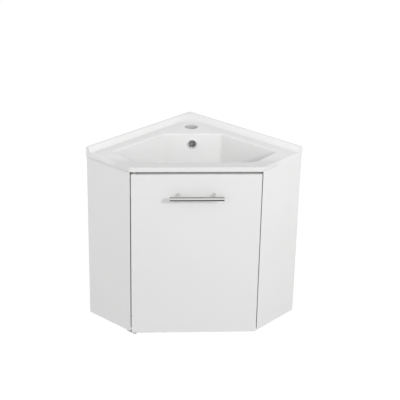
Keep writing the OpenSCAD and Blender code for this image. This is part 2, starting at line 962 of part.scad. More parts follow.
module pivot_screw_shapes() {
    for (back = pivot_screws_at) {
        translate([pivot_t, pivot_d - back, carcass_h]) mirror([0, 0, 1]) countersunk_screw();
        translate([pivot_t, pivot_d - back, -pivot_plate_t]) countersunk_screw();
    }
}

module upper_pivot_plate() {
    color("white")
        difference() {
            on_left_wall() upper_plate_shape(0);
            on_left_wall() pivot_screw_shapes();
            pin_shapes();
        }
}

module lower_pivot_plate() {
    color("white")
        difference() {
            on_left_wall() lower_plate_shape();
            on_left_wall() pivot_screw_shapes();
            pin_shapes();
        }
}

module pivot_pins() color("gray") pin_shapes();
module pivot_screws() color("gray") on_left_wall() pivot_screw_shapes();

module bush_hole() translate([0, 0, -bush_depth]) cylinder(r = bush_r, h = bush_depth + over);

module pivot_bushes() {
    color("whitesmoke")
        at_door_ends()
            difference() {
                union() {
                    translate([0, 0, -bush_depth]) cylinder(r = bush_r, h = bush_depth);
                    cylinder(r = bush_flange_r, h = bush_flange_t);
                }
                translate([0, 0, -bush_depth - over]) cylinder(r = pin_r + snug, h = bush_depth + 2 * over);
            }
}

basin_top();
tap_corner();
bowl_floor();
overflow_ring();
overflow_grille();
waste_body();
waste_top_seal();
waste_lower_seal();
waste_nut();
plug_guide();
plug_cap();
plug_seal();
plug_stem();
left_side_panel();
right_side_panel();
bottom_panel();
left_upper_rail();
right_upper_rail();
left_lower_rail();
right_lower_rail();
upper_corner_block();
lower_corner_block();
cam_housings();
cam_bolts();
dowels();
door_panel();
door_edge_bands();
door_bumpers();
handle_bar();
handle_posts();
handle_screws();
catch_strike();
strike_screws();
magnet_catch();
catch_screws();
upper_pivot_plate();
lower_pivot_plate();
pivot_pins();
pivot_bushes();
pivot_screws();
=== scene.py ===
# Corner vanity unit: a one-piece basin top on a wall-hung corner cabinet with one hinged door.
# Metres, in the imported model's own frame: X to the right, Y into the corner, Z up.
import math

import bmesh
import bpy
from mathutils import Matrix, Vector


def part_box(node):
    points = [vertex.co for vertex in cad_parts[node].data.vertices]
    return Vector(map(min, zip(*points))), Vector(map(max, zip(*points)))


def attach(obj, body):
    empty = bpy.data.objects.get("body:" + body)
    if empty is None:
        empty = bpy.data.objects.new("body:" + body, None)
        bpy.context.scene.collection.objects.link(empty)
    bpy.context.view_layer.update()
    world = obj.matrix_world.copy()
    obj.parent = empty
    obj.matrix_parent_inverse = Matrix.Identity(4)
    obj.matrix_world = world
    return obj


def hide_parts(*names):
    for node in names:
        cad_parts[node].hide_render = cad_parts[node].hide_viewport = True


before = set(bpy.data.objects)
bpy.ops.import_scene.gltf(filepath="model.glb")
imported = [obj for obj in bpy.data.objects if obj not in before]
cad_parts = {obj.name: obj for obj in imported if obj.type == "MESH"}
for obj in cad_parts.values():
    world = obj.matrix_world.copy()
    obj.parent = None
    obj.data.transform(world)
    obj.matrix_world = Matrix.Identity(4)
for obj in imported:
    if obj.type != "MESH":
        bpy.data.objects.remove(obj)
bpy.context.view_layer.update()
root2 = math.sqrt(2)
mm = 0.001
over = 1 * mm  # how far a cutting tool reaches past what it cuts
hair = 0.001 * mm  # points nearer than this are one point
print("frame loaded,", len(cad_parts), "nodes")


# Node trees: a wire is a socket that can stand in a sum, and a bench adds the nodes

def joining(operation, flipped=False):
    def act(self, other):
        first, second = (other, self) if flipped else (self, other)
        return self.bench.sum(operation, first, second)
    return act


class Wire:
    __add__, __radd__ = joining("ADD"), joining("ADD", True)
    __sub__, __rsub__ = joining("SUBTRACT"), joining("SUBTRACT", True)
    __mul__, __rmul__ = joining("MULTIPLY"), joining("MULTIPLY", True)
    below, above, atLeast = joining("LESS_THAN"), joining("GREATER_THAN"), joining("MAXIMUM")

    def __init__(self, bench, socket):
        self.bench = bench
        self.socket = socket

    def __neg__(self):
        return self * -1.0


class Bench:
    def __init__(self, tree):
        self.tree = tree

    def add(self, kind, inputs=None, settings=None, output=0):
        node = self.tree.nodes.new(kind)
        for key, value in (settings or {}).items():
            if key == "stops":
                ramp = node.color_ramp
                while len(ramp.elements) < len(value):
                    ramp.elements.new(0.5)
                for element, (spot, colour) in zip(ramp.elements, value):
                    element.position = spot
                    element.color = (*colour, 1.0)
            else:
                setattr(node, key, value)
        for key, value in (inputs or {}).items():
            socket = node.inputs[key]
            for item in value if isinstance(value, list) else [value]:
                if isinstance(item, Wire):
                    self.tree.links.new(item.socket, socket)
                else:
                    socket.default_value = item
        return Wire(self, node.outputs[output]) if len(node.outputs) else None

    def sum(self, operation, first, second=0.0):
        return self.add("ShaderNodeMath", {0: first, 1: second}, {"operation": operation})

    def blendColours(self, first, second, factor):
        return self.add("ShaderNodeMix", {0: factor, 6: first, 7: second}, {"data_type": "RGBA"}, 2)

    def spot(self):
        return self.add("ShaderNodeTexCoord", output=3)

    def stretched(self, scale):
        return self.add("ShaderNodeMapping", {"Vector": self.spot(), "Scale": scale})

    def parts(self, vector):
        return [self.add("ShaderNodeSeparateXYZ", {"Vector": vector}, output=k) for k in range(3)]

    def noise(self, scale, detail=3.0, roughness=0.5, vector=None):
        return self.add("ShaderNodeTexNoise", {
            "Vector": vector or self.spot(), "Scale": scale, "Detail": detail, "Roughness": roughness})

    def cells(self, scale, vector=None, output=0):
        sockets = {"Vector": vector or self.spot(), "Scale": scale}
        return self.add("ShaderNodeTexVoronoi", sockets, output=output)

    def bump(self, height, strength, distance):
        return self.add("ShaderNodeBump", {"Height": height, "Strength": strength, "Distance": distance})

    def plain(self, kind, colour, inputs=None):
        return self.add(kind, {"Color": colour, **(inputs or {})})

    def clear(self):
        return self.plain("ShaderNodeBsdfTransparent", grey(1.0))

    # The second shader where the mask is 1
    def either(self, mask, first, second):
        return self.add("ShaderNodeMixShader", {0: mask, 1: first, 2: second})

    def output(self, shader, kind="ShaderNodeOutputMaterial"):
        self.add(kind, {"Surface": shader})

    # A grey that drifts between two tones
    def toned(self, low, high, size, detail=2.0, warmth=0.0):
        return self.blendColours(grey(low, warmth), grey(high, warmth), self.noise(size, detail))

    def surface(self, colour, roughness, relief, others=None):
        self.output(self.add("ShaderNodeBsdfPrincipled", {
            "Base Color": colour, "Roughness": roughness, "Normal": self.bump(*relief), **(others or {})}))


def emptyBench(owner):
    owner.use_nodes = True
    owner.node_tree.nodes.clear()
    return Bench(owner.node_tree)


def startMaterial(name):
    material = bpy.data.materials.new(name)
    return material, emptyBench(material)


def grey(level, warmth=0.0):
    return (level, level * (1 - warmth * 0.3), level * (1 - warmth), 1.0)


# Materials; the basin's glaze stands with the basin

board = {"tone": 0.813, "warmth": 0.004, "rough": 0.42, "grainSize": 900.0, "pebbleSize": 1400.0,
         "rawEdge": 0.6 * mm, "rawTop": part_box("left_side_panel")[1][2] - 0.4 * mm, "chipSize": 260.0,
         "chips": [(0.25, (0.34, 0.22, 0.12)), (0.5, (0.56, 0.41, 0.25)), (0.8, (0.72, 0.58, 0.40))]}


# Melamine-faced board: the edges that meet the walls and the basin top are bare chipboard
def boardMaterial(name, wallSides):
    material, bench = startMaterial(name)
    x, y, z = bench.parts(bench.spot())
    raw = z.above(board["rawTop"])
    if "left" in wallSides:
        raw = raw.atLeast(((x - y) * (1 / root2)).below(board["rawEdge"]))
    if "right" in wallSides:
        raw = raw.atLeast(((-x - y) * (1 / root2)).below(board["rawEdge"]))
    grain = bench.noise(board["grainSize"], 3.0, 0.6)
    facing = bench.toned(board["tone"] - 0.012, board["tone"] + 0.008, 5.0, warmth=board["warmth"])
    flake = bench.cells(board["chipSize"], bench.stretched((1.0, 1.0, 2.2)), 1)
    flakeLight = bench.noise(3.0, 1.0, vector=flake)
    chips = bench.add("ShaderNodeValToRGB", {"Fac": flakeLight}, {"stops": board["chips"]})
    relief = grain * 0.6 + bench.cells(board["pebbleSize"]) * 0.4 + raw * flakeLight * 3.0
    bench.surface(bench.blendColours(facing, chips, raw), board["rough"] + grain * 0.06 + raw * 0.4,
                  (relief, 0.35, 0.08 * mm))
    return material


# The door's white sits below the boards' white as painted shade, for the front-facing door takes more light;
# its edge strips follow it
door = {"tone": 0.738, "rough": 0.33, "grainSize": 760.0, "panelEdge": 0.12 * mm, "stripEdge": 0.4 * mm,
        "stripDark": 0.72, "stripLight": 0.745, "stripRough": 0.26}


def doorMaterial():
    material, bench = startMaterial("whiteSatinDoor")
    grain = bench.noise(door["grainSize"], 3.0, 0.6, bench.stretched((1.0, 1.0, 0.35)))
    colour = bench.blendColours(grey(door["tone"] - 0.012, 0.004), grey(door["tone"] + 0.008),
                                bench.noise(4.0, 2.0))
    bench.surface(colour, door["rough"] + grain * 0.08, (grain, 0.3, 0.06 * mm),
                  {"Coat Weight": 0.06, "Coat Roughness": 0.2})
    return material


def stripMaterial():
    material, bench = startMaterial("whiteEdgeStrip")
    streak = bench.noise(9.0, 2.0, vector=bench.stretched((6.0, 160.0, 6.0)))
    fine = bench.noise(1200.0, 2.0)
    bench.surface(bench.blendColours(grey(door["stripDark"]), grey(door["stripLight"]), streak),
                  door["stripRough"] + fine * 0.08, (streak * 0.5 + fine * 0.3, 0.25, 0.05 * mm))
    return material


# Metals carry close marks (lines, spots or crystals) under a slow smear. "tint" is the share of
# each in the colour, and "rough" is a level and then the share of each.
def brushed(scale):
    return {"dark": grey(0.60, 0.03), "light": grey(0.74, 0.03), "tint": (1, 0), "rough": (0.04, 0.05, 0.02),
            "marks": lambda bench: bench.noise(1.0, 5.0, 0.7, bench.stretched(scale)),
            "smear": (40.0, 2.0), "bump": (0.12, 0.02 * mm)}


metals = {
    "brushedBar": brushed((14.0, 2600.0, 2600.0)),  # lengthwise is X on the bar
    "brushedPost": brushed((2600.0, 14.0, 2600.0)),  # and Y on the posts
    "chromePlate": {
        "dark": (0.90, 0.91, 0.92, 1), "light": (0.95, 0.955, 0.96, 1), "tint": (0, 1),
        "rough": (0.15, 0.02, 0.05), "marks": lambda bench: bench.noise(700.0, 2.0),
        "smear": (60.0, 3.0), "bump": (0.1, 0.02 * mm)},
    "platedSteel": {
        "dark": (0.42, 0.42, 0.41, 1), "light": (0.62, 0.62, 0.60, 1), "tint": (0.6, 0.6),
        "rough": (0.3, 0, 0.15), "marks": lambda bench: bench.cells(520.0),
        "smear": (90.0, 3.0), "bump": (0.2, 0.03 * mm)},
    "turnedBrass": {
        "dark": (0.55, 0.38, 0.15, 1), "light": (0.78, 0.60, 0.30, 1), "tint": (0, 1),
        "rough": (0.25, 0.15, 0),
        "marks": lambda bench: bench.noise(1.0, 3.0, vector=bench.stretched((40.0, 40.0, 1500.0))),
        "smear": (70.0, 3.0), "bump": (0.25, 0.03 * mm)},
}


def metalMaterial(name):
    metal = metals[name]
    material, bench = startMaterial(name)
    marks, smear = metal["marks"](bench), bench.noise(*metal["smear"])
    tint, rough = metal["tint"], metal["rough"]
    colour = bench.blendColours(metal["dark"], metal["light"], marks * tint[0] + smear * tint[1])
    bench.surface(colour, rough[0] + marks * rough[1] + smear * rough[2], (marks, *metal["bump"]),
                  {"Metallic": 1.0})
    return material


def plasticMaterial(name, low, high, rough, speck=600.0):
    material, bench = startMaterial(name)
    fine = bench.noise(speck, 3.0, 0.6)
    bench.surface(bench.blendColours(low, high, bench.noise(30.0, 2.0)), rough + fine * 0.12,
                  (fine, 0.3, 0.05 * mm))
    return material


wood = [(0.3, (0.46, 0.30, 0.15)), (0.5, (0.62, 0.45, 0.26)), (0.7, (0.74, 0.58, 0.38))]


# Bare wood with its grain along one axis, which the scale gives
def woodMaterial(name, scale):
    material, bench = startMaterial(name)
    rings = bench.noise(1.0, 4.0, 0.6, bench.stretched(scale))
    pores = bench.noise(1.0, 2.0, vector=bench.stretched(tuple(5 * s for s in scale)))
    colour = bench.add("ShaderNodeValToRGB", {"Fac": rings}, {"stops": wood})
    bench.surface(colour, 0.55 + pores * 0.2, (rings + pores * 0.5, 0.4, 0.12 * mm))
    return material


leftBoard = boardMaterial("leftBoard", ["left"])
rightBoard = boardMaterial("rightBoard", ["right"])
baseBoard = boardMaterial("baseBoard", ["left", "right"])
satinDoor = doorMaterial()
edgeStrip = stripMaterial()
brushedBar, brushedPost, chromePlate, platedSteel, turnedBrass = [metalMaterial(name) for name in metals]
sealRubber = plasticMaterial("sealRubber", grey(0.025), grey(0.045), 0.6, 900.0)
greyPlastic = plasticMaterial("greyPlastic", grey(0.19), grey(0.25), 0.4)
whitePlastic = plasticMaterial("whitePlastic", grey(0.76, 0.01), grey(0.80, 0.01), 0.35)
blockWood = woodMaterial("blockWood", (210.0, 210.0, 12.0))
dowelWood = woodMaterial("dowelWood", (60.0, 60.0, 60.0))
print("materials made,", len(bpy.data.materials))


# Shapes

def leftOf(v):
    return Vector((-v.y, v.x))


# A quarter round as steps + 1 pairs: how far in and how far up it has come, each from 0 to 1
def quarter(steps):
    turns = [math.pi / 2 * k / steps for k in range(steps + 1)]
    return [(1 - math.cos(a), math.sin(a)) for a in turns]


# Corner number i of a closed outline, moved inwards by inset and rounded, as steps + 1 points
def cornerArc(outline, i, inset, radius, steps):
    before, here, after = outline[i - 1], outline[i], outline[(i + 1) % len(outline)]
    arriving, leaving = (here - before).normalized(), (after - here).normalized()
    a, b = leftOf(arriving), leftOf(leaving)
    corner = here + inset * (a + b) / (1 + a.dot(b))
    turn = arriving.angle(leaving)
    middle = corner - arriving * radius * math.tan(turn / 2) + a * radius
    start = math.atan2(-a.y, -a.x)
    angles = [start + turn * k / steps for k in range(steps + 1)]
    return [middle + radius * Vector((math.cos(angle), math.sin(angle))) for angle in angles]


def planRing(outline, radii, inset, height, least=1 * mm, steps=14):
    points = [Vector(p) for p in outline]
    ring = []
    for i, radius in enumerate(radii):
        arc = cornerArc(points, i, inset, max(radius - inset, least), steps)
        ring += [(q.x, q.y, height) for q in arc]
    return ring


def addObject(name, mesh):
    made = bpy.data.objects.new(name, mesh)
    bpy.context.scene.collection.objects.link(made)
    return made


def meshOf(form, name):
    bmesh.ops.recalc_face_normals(form, faces=form.faces)
    if form.calc_volume(signed=True) < 0:
        bmesh.ops.reverse_faces(form, faces=form.faces)
    mesh = bpy.data.meshes.new(name)
    form.to_mesh(mesh)
    form.free()
    return mesh


# A closed body through rings of equal length
def lofted(name, rings):
    form = bmesh.new()
    rows = [[form.verts.new(p) for p in ring] for ring in rings]
    count = len(rows[0])
    for low, high in zip(rows, rows[1:]):
        for i in range(count):
            j = (i + 1) % count
            form.faces.new((low[i], low[j], high[j], high[i]))
    form.faces.new(list(reversed(rows[0])))
    form.faces.new(rows[-1])
    return addObject(name, meshOf(form, name))


def roundedBlock(name, low, high, radius):
    outline = [(high[0], low[1]), (high[0], high[1]), (low[0], high[1]), (low[0], low[1])]
    return lofted(name, [planRing(outline, [radius] * 4, 0, z, radius, 6) for z in (low[2], high[2])])


# A closed section with its corners rounded; radii is one number or one for each corner
def softened(points, radii, steps=5):
    out = []
    count = len(points)
    for i, point in enumerate(points):
        radius = radii[i] if isinstance(radii, (list, tuple)) else radii
        before, here, after = Vector(points[i - 1]), Vector(point), Vector(points[(i + 1) % count])
        arriving, leaving = here - before, after - here
        turn = arriving.angle(leaving)
        if radius == 0 or turn < 0.01:
            out.append(here)
            continue
        reach = min(radius * math.tan(turn / 2), 0.49 * arriving.length, 0.49 * leaving.length)
        radius = reach / math.tan(turn / 2)
        side = 1 if arriving.x * leaving.y - arriving.y * leaving.x > 0 else -1
        across = leftOf(arriving.normalized()) * side
        middle = here - arriving.normalized() * reach + across * radius
        start = math.atan2(-across.y, -across.x)
        for k in range(steps + 1):
            angle = start + side * turn * k / steps
            out.append(middle + radius * Vector((math.cos(angle), math.sin(angle))))
    return out


# A section of (radius, height) points turned round Z
def turnedForm(section, sides=96):
    form = bmesh.new()
    rows = []
    for r, z in section:
        if r < 1e-7:
            rows.append([form.verts.new((0, 0, z))])
        else:
            angles = [2 * math.pi * k / sides for k in range(sides)]
            rows.append([form.verts.new((r * math.cos(a), r * math.sin(a), z)) for a in angles])
    for low, high in zip(rows, rows[1:] + rows[:1]):
        for k in range(sides):
            j = (k + 1) % sides
            corners = [low[k % len(low)], low[j % len(low)], high[j % len(high)], high[k % len(high)]]
            corners = [c for n, c in enumerate(corners) if c not in corners[:n]]
            if len(corners) > 2:
                form.faces.new(corners)
    return form


def turned(name, section, sides=96):
    return addObject(name, meshOf(turnedForm(section, sides), name))


# A ring of square section, softened from its inner foot round to its inner top
def washer(name, inner, outer, low, high, soft=0, sides=96, steps=5):
    section = [(inner, low), (outer, low), (outer, high), (inner, high)]
    return turned(name, softened(section, soft, steps), sides)


def rod(name, radius, low, high, footSoft=0, headSoft=0, sides=96, steps=5):
    return washer(name, 0, radius, low, high, [0, footSoft, headSoft, 0], sides, steps)


# Z of a shape turned to look along the given direction, from the given spot
def aimed(spot, direction):
    return Matrix.Translation(spot) @ Vector(direction).to_track_quat("Z", "Y").to_matrix().to_4x4()


def moved(made, matrix):
    made.data.transform(matrix)
    return made


def evaluatedMesh(made):
    made.update_tag()
    seen = made.evaluated_get(bpy.context.evaluated_depsgraph_get())
    mesh = bpy.data.meshes.new_from_object(seen)
    made.modifiers.clear()
    made.data = mesh
    return made


# Takes out the slivers that a cut leaves behind
def merged(made):
    form = bmesh.new()
    form.from_mesh(made.data)
    bmesh.ops.remove_doubles(form, verts=form.verts, dist=hair)
    bmesh.ops.dissolve_degenerate(form, edges=form.edges, dist=hair)
    form.to_mesh(made.data)
    form.free()


def carve(target, tool, operation="DIFFERENCE"):
    change = target.modifiers.new("carve", "BOOLEAN")
    change.operation = operation
    change.solver = "EXACT"
    change.object = tool
    evaluatedMesh(target)
    merged(target)
    bpy.data.objects.remove(tool)
    return target


# Two crossed slots sunk into the head of a shape that stands on Z
def carveCross(made, half, wide, low, high, radius):
    for turn in (0, math.pi / 2):
        blade = roundedBlock("blade", (-half, -wide / 2, low), (half, wide / 2, high), radius)
        carve(made, moved(blade, Matrix.Rotation(turn, 4, "Z")))


def joined(first, *others):
    form = bmesh.new()
    form.from_mesh(first.data)
    for other in others:
        form.from_mesh(other.data)
        bpy.data.objects.remove(other)
    form.to_mesh(first.data)
    form.free()
    return first


def smoothed(made, angle=32):
    mesh = made.data
    mesh.polygons.foreach_set("use_smooth", [True] * len(mesh.polygons))
    mesh.set_sharp_from_angle(angle=math.radians(angle))
    even = made.modifiers.new("even", "WEIGHTED_NORMAL")
    even.keep_sharp = True
    even.weight = 80
    return made


# Hands a finished piece to the frame, in place of its nodes
def handOver(made, body, material, *nodes):
    made.data.materials.clear()
    made.data.materials.append(material)
    made.data.update()
    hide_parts(*nodes)
    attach(made, body)


# left_side_panel becomes leftSidePanel
def pieceName(node):
    first, *rest = node.split("_")
    return first + "".join(word.capitalize() for word in rest)


def mergedForm(node):
    form = bmesh.new()
    form.from_mesh(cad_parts[node].data)
    bmesh.ops.remove_doubles(form, verts=form.verts, dist=hair)
    return form


# A copy of a node's mesh with its long edges rounded
def rounded(node, width, segments=3, shortest=6 * mm):
    form = mergedForm(node)
    bmesh.ops.dissolve_limit(form, angle_limit=math.radians(0.5), verts=form.verts, edges=form.edges)
    edges = [e for e in form.edges if len(e.link_faces) == 2 and e.calc_length() > shortest
             and e.calc_face_angle() > math.radians(40)]
    bmesh.ops.bevel(form, geom=edges, offset=width, offset_type="OFFSET", segments=segments, profile=0.5,
                    affect="EDGES", clamp_overlap=True)
    name = pieceName(node)
    return smoothed(addObject(name, meshOf(form, name)))


# The loose bodies of a node, each as its list of points
def islandsOf(node):
    form = mergedForm(node)
    left = set(form.verts)
    islands = []
    while left:
        queue = [left.pop()]
        island = []
        while queue:
            vert = queue.pop()
            island.append(vert.co.copy())
            for edge in vert.link_edges:
                other = edge.other_vert(vert)
                if other in left:
                    left.remove(other)
                    queue.append(other)
        islands.append(island)
    form.free()
    return sorted(islands, key=lambda island: tuple(round(c, 5) for c in min(island, key=lambda p: p.x)))


def middleOf(island):
    return sum(island, Vector()) / len(island)


# Where a round fastener sits: its foot, its direction towards the wider end, its length and radii
def seatOf(island, axis):
    axis = Vector(axis).normalized()
    side = axis.orthogonal().normalized()
    other = axis.cross(side)
    low, high = min(p.dot(axis) for p in island), max(p.dot(axis) for p in island)
    middle = [(min(p.dot(d) for p in island) + max(p.dot(d) for p in island)) / 2 for d in (side, other)]
    line = side * middle[0] + other * middle[1]

    def reach(level):
        near = [p for p in island if abs(p.dot(axis) - level) < 0.3 * mm]
        return max((p - line - axis * p.dot(axis)).length for p in near)

    ends = [{"foot": line + axis * low, "aim": axis, "tip": reach(low), "head": reach(high)},
            {"foot": line + axis * high, "aim": -axis, "tip": reach(high), "head": reach(low)}]
    return {**ends[reach(low) > reach(high) + 0.05 * mm], "length": high - low}


def seatsOf(node, axis):
    return [seatOf(island, axis) for island in islandsOf(node)]


# Geometry Nodes

def startTree(name, **sockets):
    tree = bpy.data.node_groups.new(name, "GeometryNodeTree")
    sides = [("Geometry", "INPUT", "Geometry"), *[(title, "INPUT", kind) for title, kind in sockets.items()],
             ("Material", "INPUT", "Material"), ("Geometry", "OUTPUT", "Geometry")]
    for title, side, kind in sides:
        tree.interface.new_socket(name=title, in_out=side, socket_type="NodeSocket" + kind)
    bench = Bench(tree)
    entry = tree.nodes.new("NodeGroupInput")
    wires = {socket.name: Wire(bench, socket) for socket in entry.outputs if socket.name}
    return tree, bench, wires


def endTree(tree, bench, shape, wires):
    whole = bench.add("GeometryNodeRealizeInstances", {"Geometry": shape})
    dressed = bench.add("GeometryNodeSetMaterial", {"Geometry": whole, "Material": wires["Material"]})
    bench.add("NodeGroupOutput", {0: dressed})
    return tree


# Copies a template to each point, turned to the point's own aim
def copiesTree():
    tree, bench, wires = startTree("copiesOnSeats", Template="Object")
    shape = bench.add("GeometryNodeObjectInfo", {"Object": wires["Template"]}, output=4)
    aim = bench.add("GeometryNodeInputNamedAttribute", {"Name": "aim"}, {"data_type": "FLOAT_VECTOR"})
    turn = bench.add("FunctionNodeAlignRotationToVector", {"Vector": aim}, {"axis": "Z"})
    points = bench.add("GeometryNodeMeshToPoints", {"Mesh": wires["Geometry"]})
    copies = bench.add("GeometryNodeInstanceOnPoints", {
        "Points": points, "Instance": shape, "Rotation": turn})
    return endTree(tree, bench, copies, wires)


# A hub ring with straight spokes round Z
def grilleTree():
    tree, bench, wires = startTree("ringAndSpokes", Spokes="Int", Hub="Float", Reach="Float",
                                   Thickness="Float", Depth="Float")
    hub, reach, thickness, depth = [wires[title] for title in ("Hub", "Reach", "Thickness", "Depth")]
    path = bench.add("GeometryNodeCurvePrimitiveCircle", {"Resolution": 64, "Radius": hub})
    section = bench.add("GeometryNodeCurvePrimitiveQuadrilateral", {"Width": thickness, "Height": depth})
    section = bench.add("GeometryNodeFilletCurve", {"Curve": section, "Count": 4, "Radius": 0.2 * mm},
                        {"mode": "POLY"})
    ring = bench.add("GeometryNodeCurveToMesh", {"Curve": path, "Profile Curve": section})
    size = bench.add("ShaderNodeCombineXYZ", {"X": reach - hub, "Y": thickness, "Z": depth * 0.8})
    spoke = bench.add("GeometryNodeMeshCube", {
        "Size": size, "Vertices X": 4, "Vertices Y": 3, "Vertices Z": 3})
    shift = bench.add("ShaderNodeCombineXYZ", {"X": (reach + hub) * 0.5})
    spoke = bench.add("GeometryNodeTransform", {"Geometry": spoke, "Translation": shift})
    points = bench.add("GeometryNodePoints", {"Count": wires["Spokes"]})
    index = bench.add("GeometryNodeInputIndex")
    turn = bench.sum("DIVIDE", index * (2 * math.pi), wires["Spokes"])
    spin = bench.add("ShaderNodeCombineXYZ", {"Z": turn + math.pi / 4})
    spokes = bench.add("GeometryNodeInstanceOnPoints", {
        "Points": points, "Instance": spoke, "Rotation": spin})
    both = bench.add("GeometryNodeJoinGeometry", {"Geometry": [ring, spokes]})
    return endTree(tree, bench, both, wires)


# A screw thread: a fine ridge wound up round Z
def threadTree():
    tree, bench, wires = startTree("windingThread", Radius="Float", Pitch="Float", Turns="Float",
                                   Ridge="Float")
    coil = bench.add("GeometryNodeCurveSpiral", {
        "Resolution": 48, "Rotations": wires["Turns"], "Start Radius": wires["Radius"],
        "End Radius": wires["Radius"], "Height": wires["Pitch"] * wires["Turns"]})
    ridge = bench.add("GeometryNodeCurvePrimitiveCircle", {"Resolution": 4, "Radius": wires["Ridge"]})
    thread = bench.add("GeometryNodeCurveToMesh", {
        "Curve": coil, "Profile Curve": ridge, "Fill Caps": True})
    return endTree(tree, bench, thread, wires)


copiesOnSeats = copiesTree()
ringAndSpokes = grilleTree()
windingThread = threadTree()


# Runs a tree on an object and keeps the plain mesh
def grown(made, tree, values):
    step = made.modifiers.new("grow", "NODES")
    step.node_group = tree
    for item in tree.interface.items_tree:
        if item.in_out == "INPUT" and item.name in values:
            step[item.identifier] = values[item.name]
    return evaluatedMesh(made)


def grownAlone(name, tree, values):
    return grown(addObject(name, bpy.data.meshes.new(name)), tree, values)


# A copy of the template on every seat of a node
def copied(node, seats, template, material):
    name = pieceName(node)
    mesh = bpy.data.meshes.new(name)
    mesh.from_pydata([seat["foot"] for seat in seats], [], [])
    aims = mesh.attributes.new("aim", "FLOAT_VECTOR", "POINT")
    for k, seat in enumerate(seats):
        aims.data[k].vector = seat["aim"]
    made = grown(addObject(name, mesh), copiesOnSeats, {"Template": template, "Material": material})
    bpy.data.objects.remove(template)
    return smoothed(made)


def wound(name, radius, pitch, turns, ridge, material, foot):
    made = grownAlone(name, windingThread, {
        "Radius": radius, "Pitch": pitch, "Turns": turns, "Ridge": ridge, "Material": material})
    return moved(made, Matrix.Translation((0, 0, foot)))


# Basin top

basin = {
    "wallSide": 422 * mm, "endSide": 168.5 * mm, "slabThick": 14 * mm,
    "upstandRise": 15 * mm, "upstandTop": 6 * mm, "upstandSlope": 15 * mm, "slopeSteps": 20,
    "slopeFootRadius": 80 * mm, "slopeTopRadius": 18 * mm, "openReach": 60 * mm,
    "outlineRadii": [3 * mm, 10 * mm, 3 * mm, 14 * mm, 14 * mm],
    "edgeRound": 3.5 * mm, "footRound": 1.2 * mm,
    "rimWall": 52.5 * mm, "rimBack": 158 * mm, "rimEnd": 50.5 * mm, "rimFront": 39 * mm,
    "rimFrontHalf": 160 * mm, "rimRadii": [8 * mm, 14 * mm, 14 * mm, 8 * mm, 28 * mm, 28 * mm],
    "rimRound": 3.5 * mm, "bowlDepth": 115 * mm, "bowlWall": 10 * mm, "bowlDraft": math.radians(3),
    "bowlFloorRound": 24 * mm, "floorFall": 6 * mm, "leastCorner": 5 * mm,
    "tapHole": 17.5 * mm, "tapFromCorner": 98 * mm, "tapLip": 2.0 * mm,
    "overflowDrop": 30.5 * mm, "overflowHole": 11.5 * mm, "overflowBore": 18 * mm,
    "wasteFromCorner": 262 * mm, "wasteSeat": 32 * mm, "wasteRecess": 4.5 * mm, "wasteBore": 22.45 * mm,
    "seatRound": 33.5 * mm, "boss": 34 * mm, "bossDrop": 25 * mm, "bossSoft": 2 * mm,
    "ductHalf": 22 * mm, "ductBack": 28 * mm, "ductSkin": 8 * mm, "ductBoreHalf": 13 * mm,
    "ductSoft": 6 * mm, "ductRise": 14 * mm, "channelLift": 6 * mm, "channelHeight": 8 * mm,
    "apart": 0.1 * mm,  # keeps the faces of hidden blocks from lying flush
}
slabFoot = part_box("left_side_panel")[1][2]
deckZ = slabFoot + basin["slabThick"]
upstandZ = deckZ + basin["upstandRise"]
floorZ = deckZ - basin["bowlDepth"]
bossZ = floorZ - basin["bossDrop"]
straightEnd = basin["bowlDepth"] - basin["floorFall"] - basin["bowlFloorRound"]
wasteAt = Vector((0, -basin["wasteFromCorner"], 0))
frontY = -(basin["wallSide"] + basin["endSide"]) / root2
frontHalf = (basin["wallSide"] - basin["endSide"]) / root2

# The front tone and its reaches are painted shade, greying the front and the slab's two end faces
glaze = {"tone": 0.888, "deepTone": 0.868, "rough": 0.13, "waveSize": 9.0, "waveHeight": 0.35 * mm,
         "frontShadeTone": (0.722, 0.730, 0.720, 1.0), "frontShadeFrom": -345 * mm, "frontShadeFull": -384 * mm,
         "endShadeFrom": 590 * mm, "endShadeFull": 595 * mm, "endShadeShare": 0.5,
         # the tap hole's grey is painted shade on its bare wall
         "tapBareShadeRadius": 20.1 * mm, "bareHoleShadeTone": 0.70}


# White glaze, greyed along the front and over the slab's end faces as painted shade, with the bare body in
# the tap hole greyed as painted shade too
def glazeMaterial():
    material, bench = startMaterial("whiteGlaze")
    level = bench.stretched((1.0, 1.0, 0.0))
    away = bench.add("ShaderNodeVectorMath", {0: level, 1: (0, -basin["tapFromCorner"], 0)},
                     {"operation": "DISTANCE"}, 1)
    # The tap hole's wall is bare body: rough, and grey as painted shade for the inside of the hole
    bareShadedHole = away.below(glaze["tapBareShadeRadius"])
    cloud = bench.noise(glaze["waveSize"], 2.0)
    fine = bench.noise(420.0, 2.0)
    x, y = bench.parts(bench.spot())[:2]
    # Painted shade: the glaze greys towards the front and over the slab's two end faces
    front = bench.add("ShaderNodeMapRange", {0: y, 1: glaze["frontShadeFrom"], 2: glaze["frontShadeFull"]})
    outward = bench.sum("ABSOLUTE", x) - y
    ends = bench.add("ShaderNodeMapRange", {0: outward, 1: glaze["endShadeFrom"], 2: glaze["endShadeFull"]})
    colour = bench.blendColours(grey(glaze["deepTone"], 0.008), grey(glaze["tone"]), cloud)
    colour = bench.blendColours(colour, glaze["frontShadeTone"], front.atLeast(ends * glaze["endShadeShare"]))
    # Painted shade: a grey well below the glaze stands for the shade inside the tap hole
    body = bench.blendColours(grey(glaze["bareHoleShadeTone"] - 0.02), grey(glaze["bareHoleShadeTone"] + 0.02), fine)
    roughness = glaze["rough"] + cloud * 0.05 + fine * 0.02 + bareShadedHole * 0.5
    bench.surface(bench.blendColours(colour, body, bareShadedHole), roughness,
                  (cloud * 0.9 + fine * 0.02, 0.25, glaze["waveHeight"]),
                  {"Coat Weight": 0.35, "Coat Roughness": 0.04, "Specular IOR Level": 0.5})
    return material


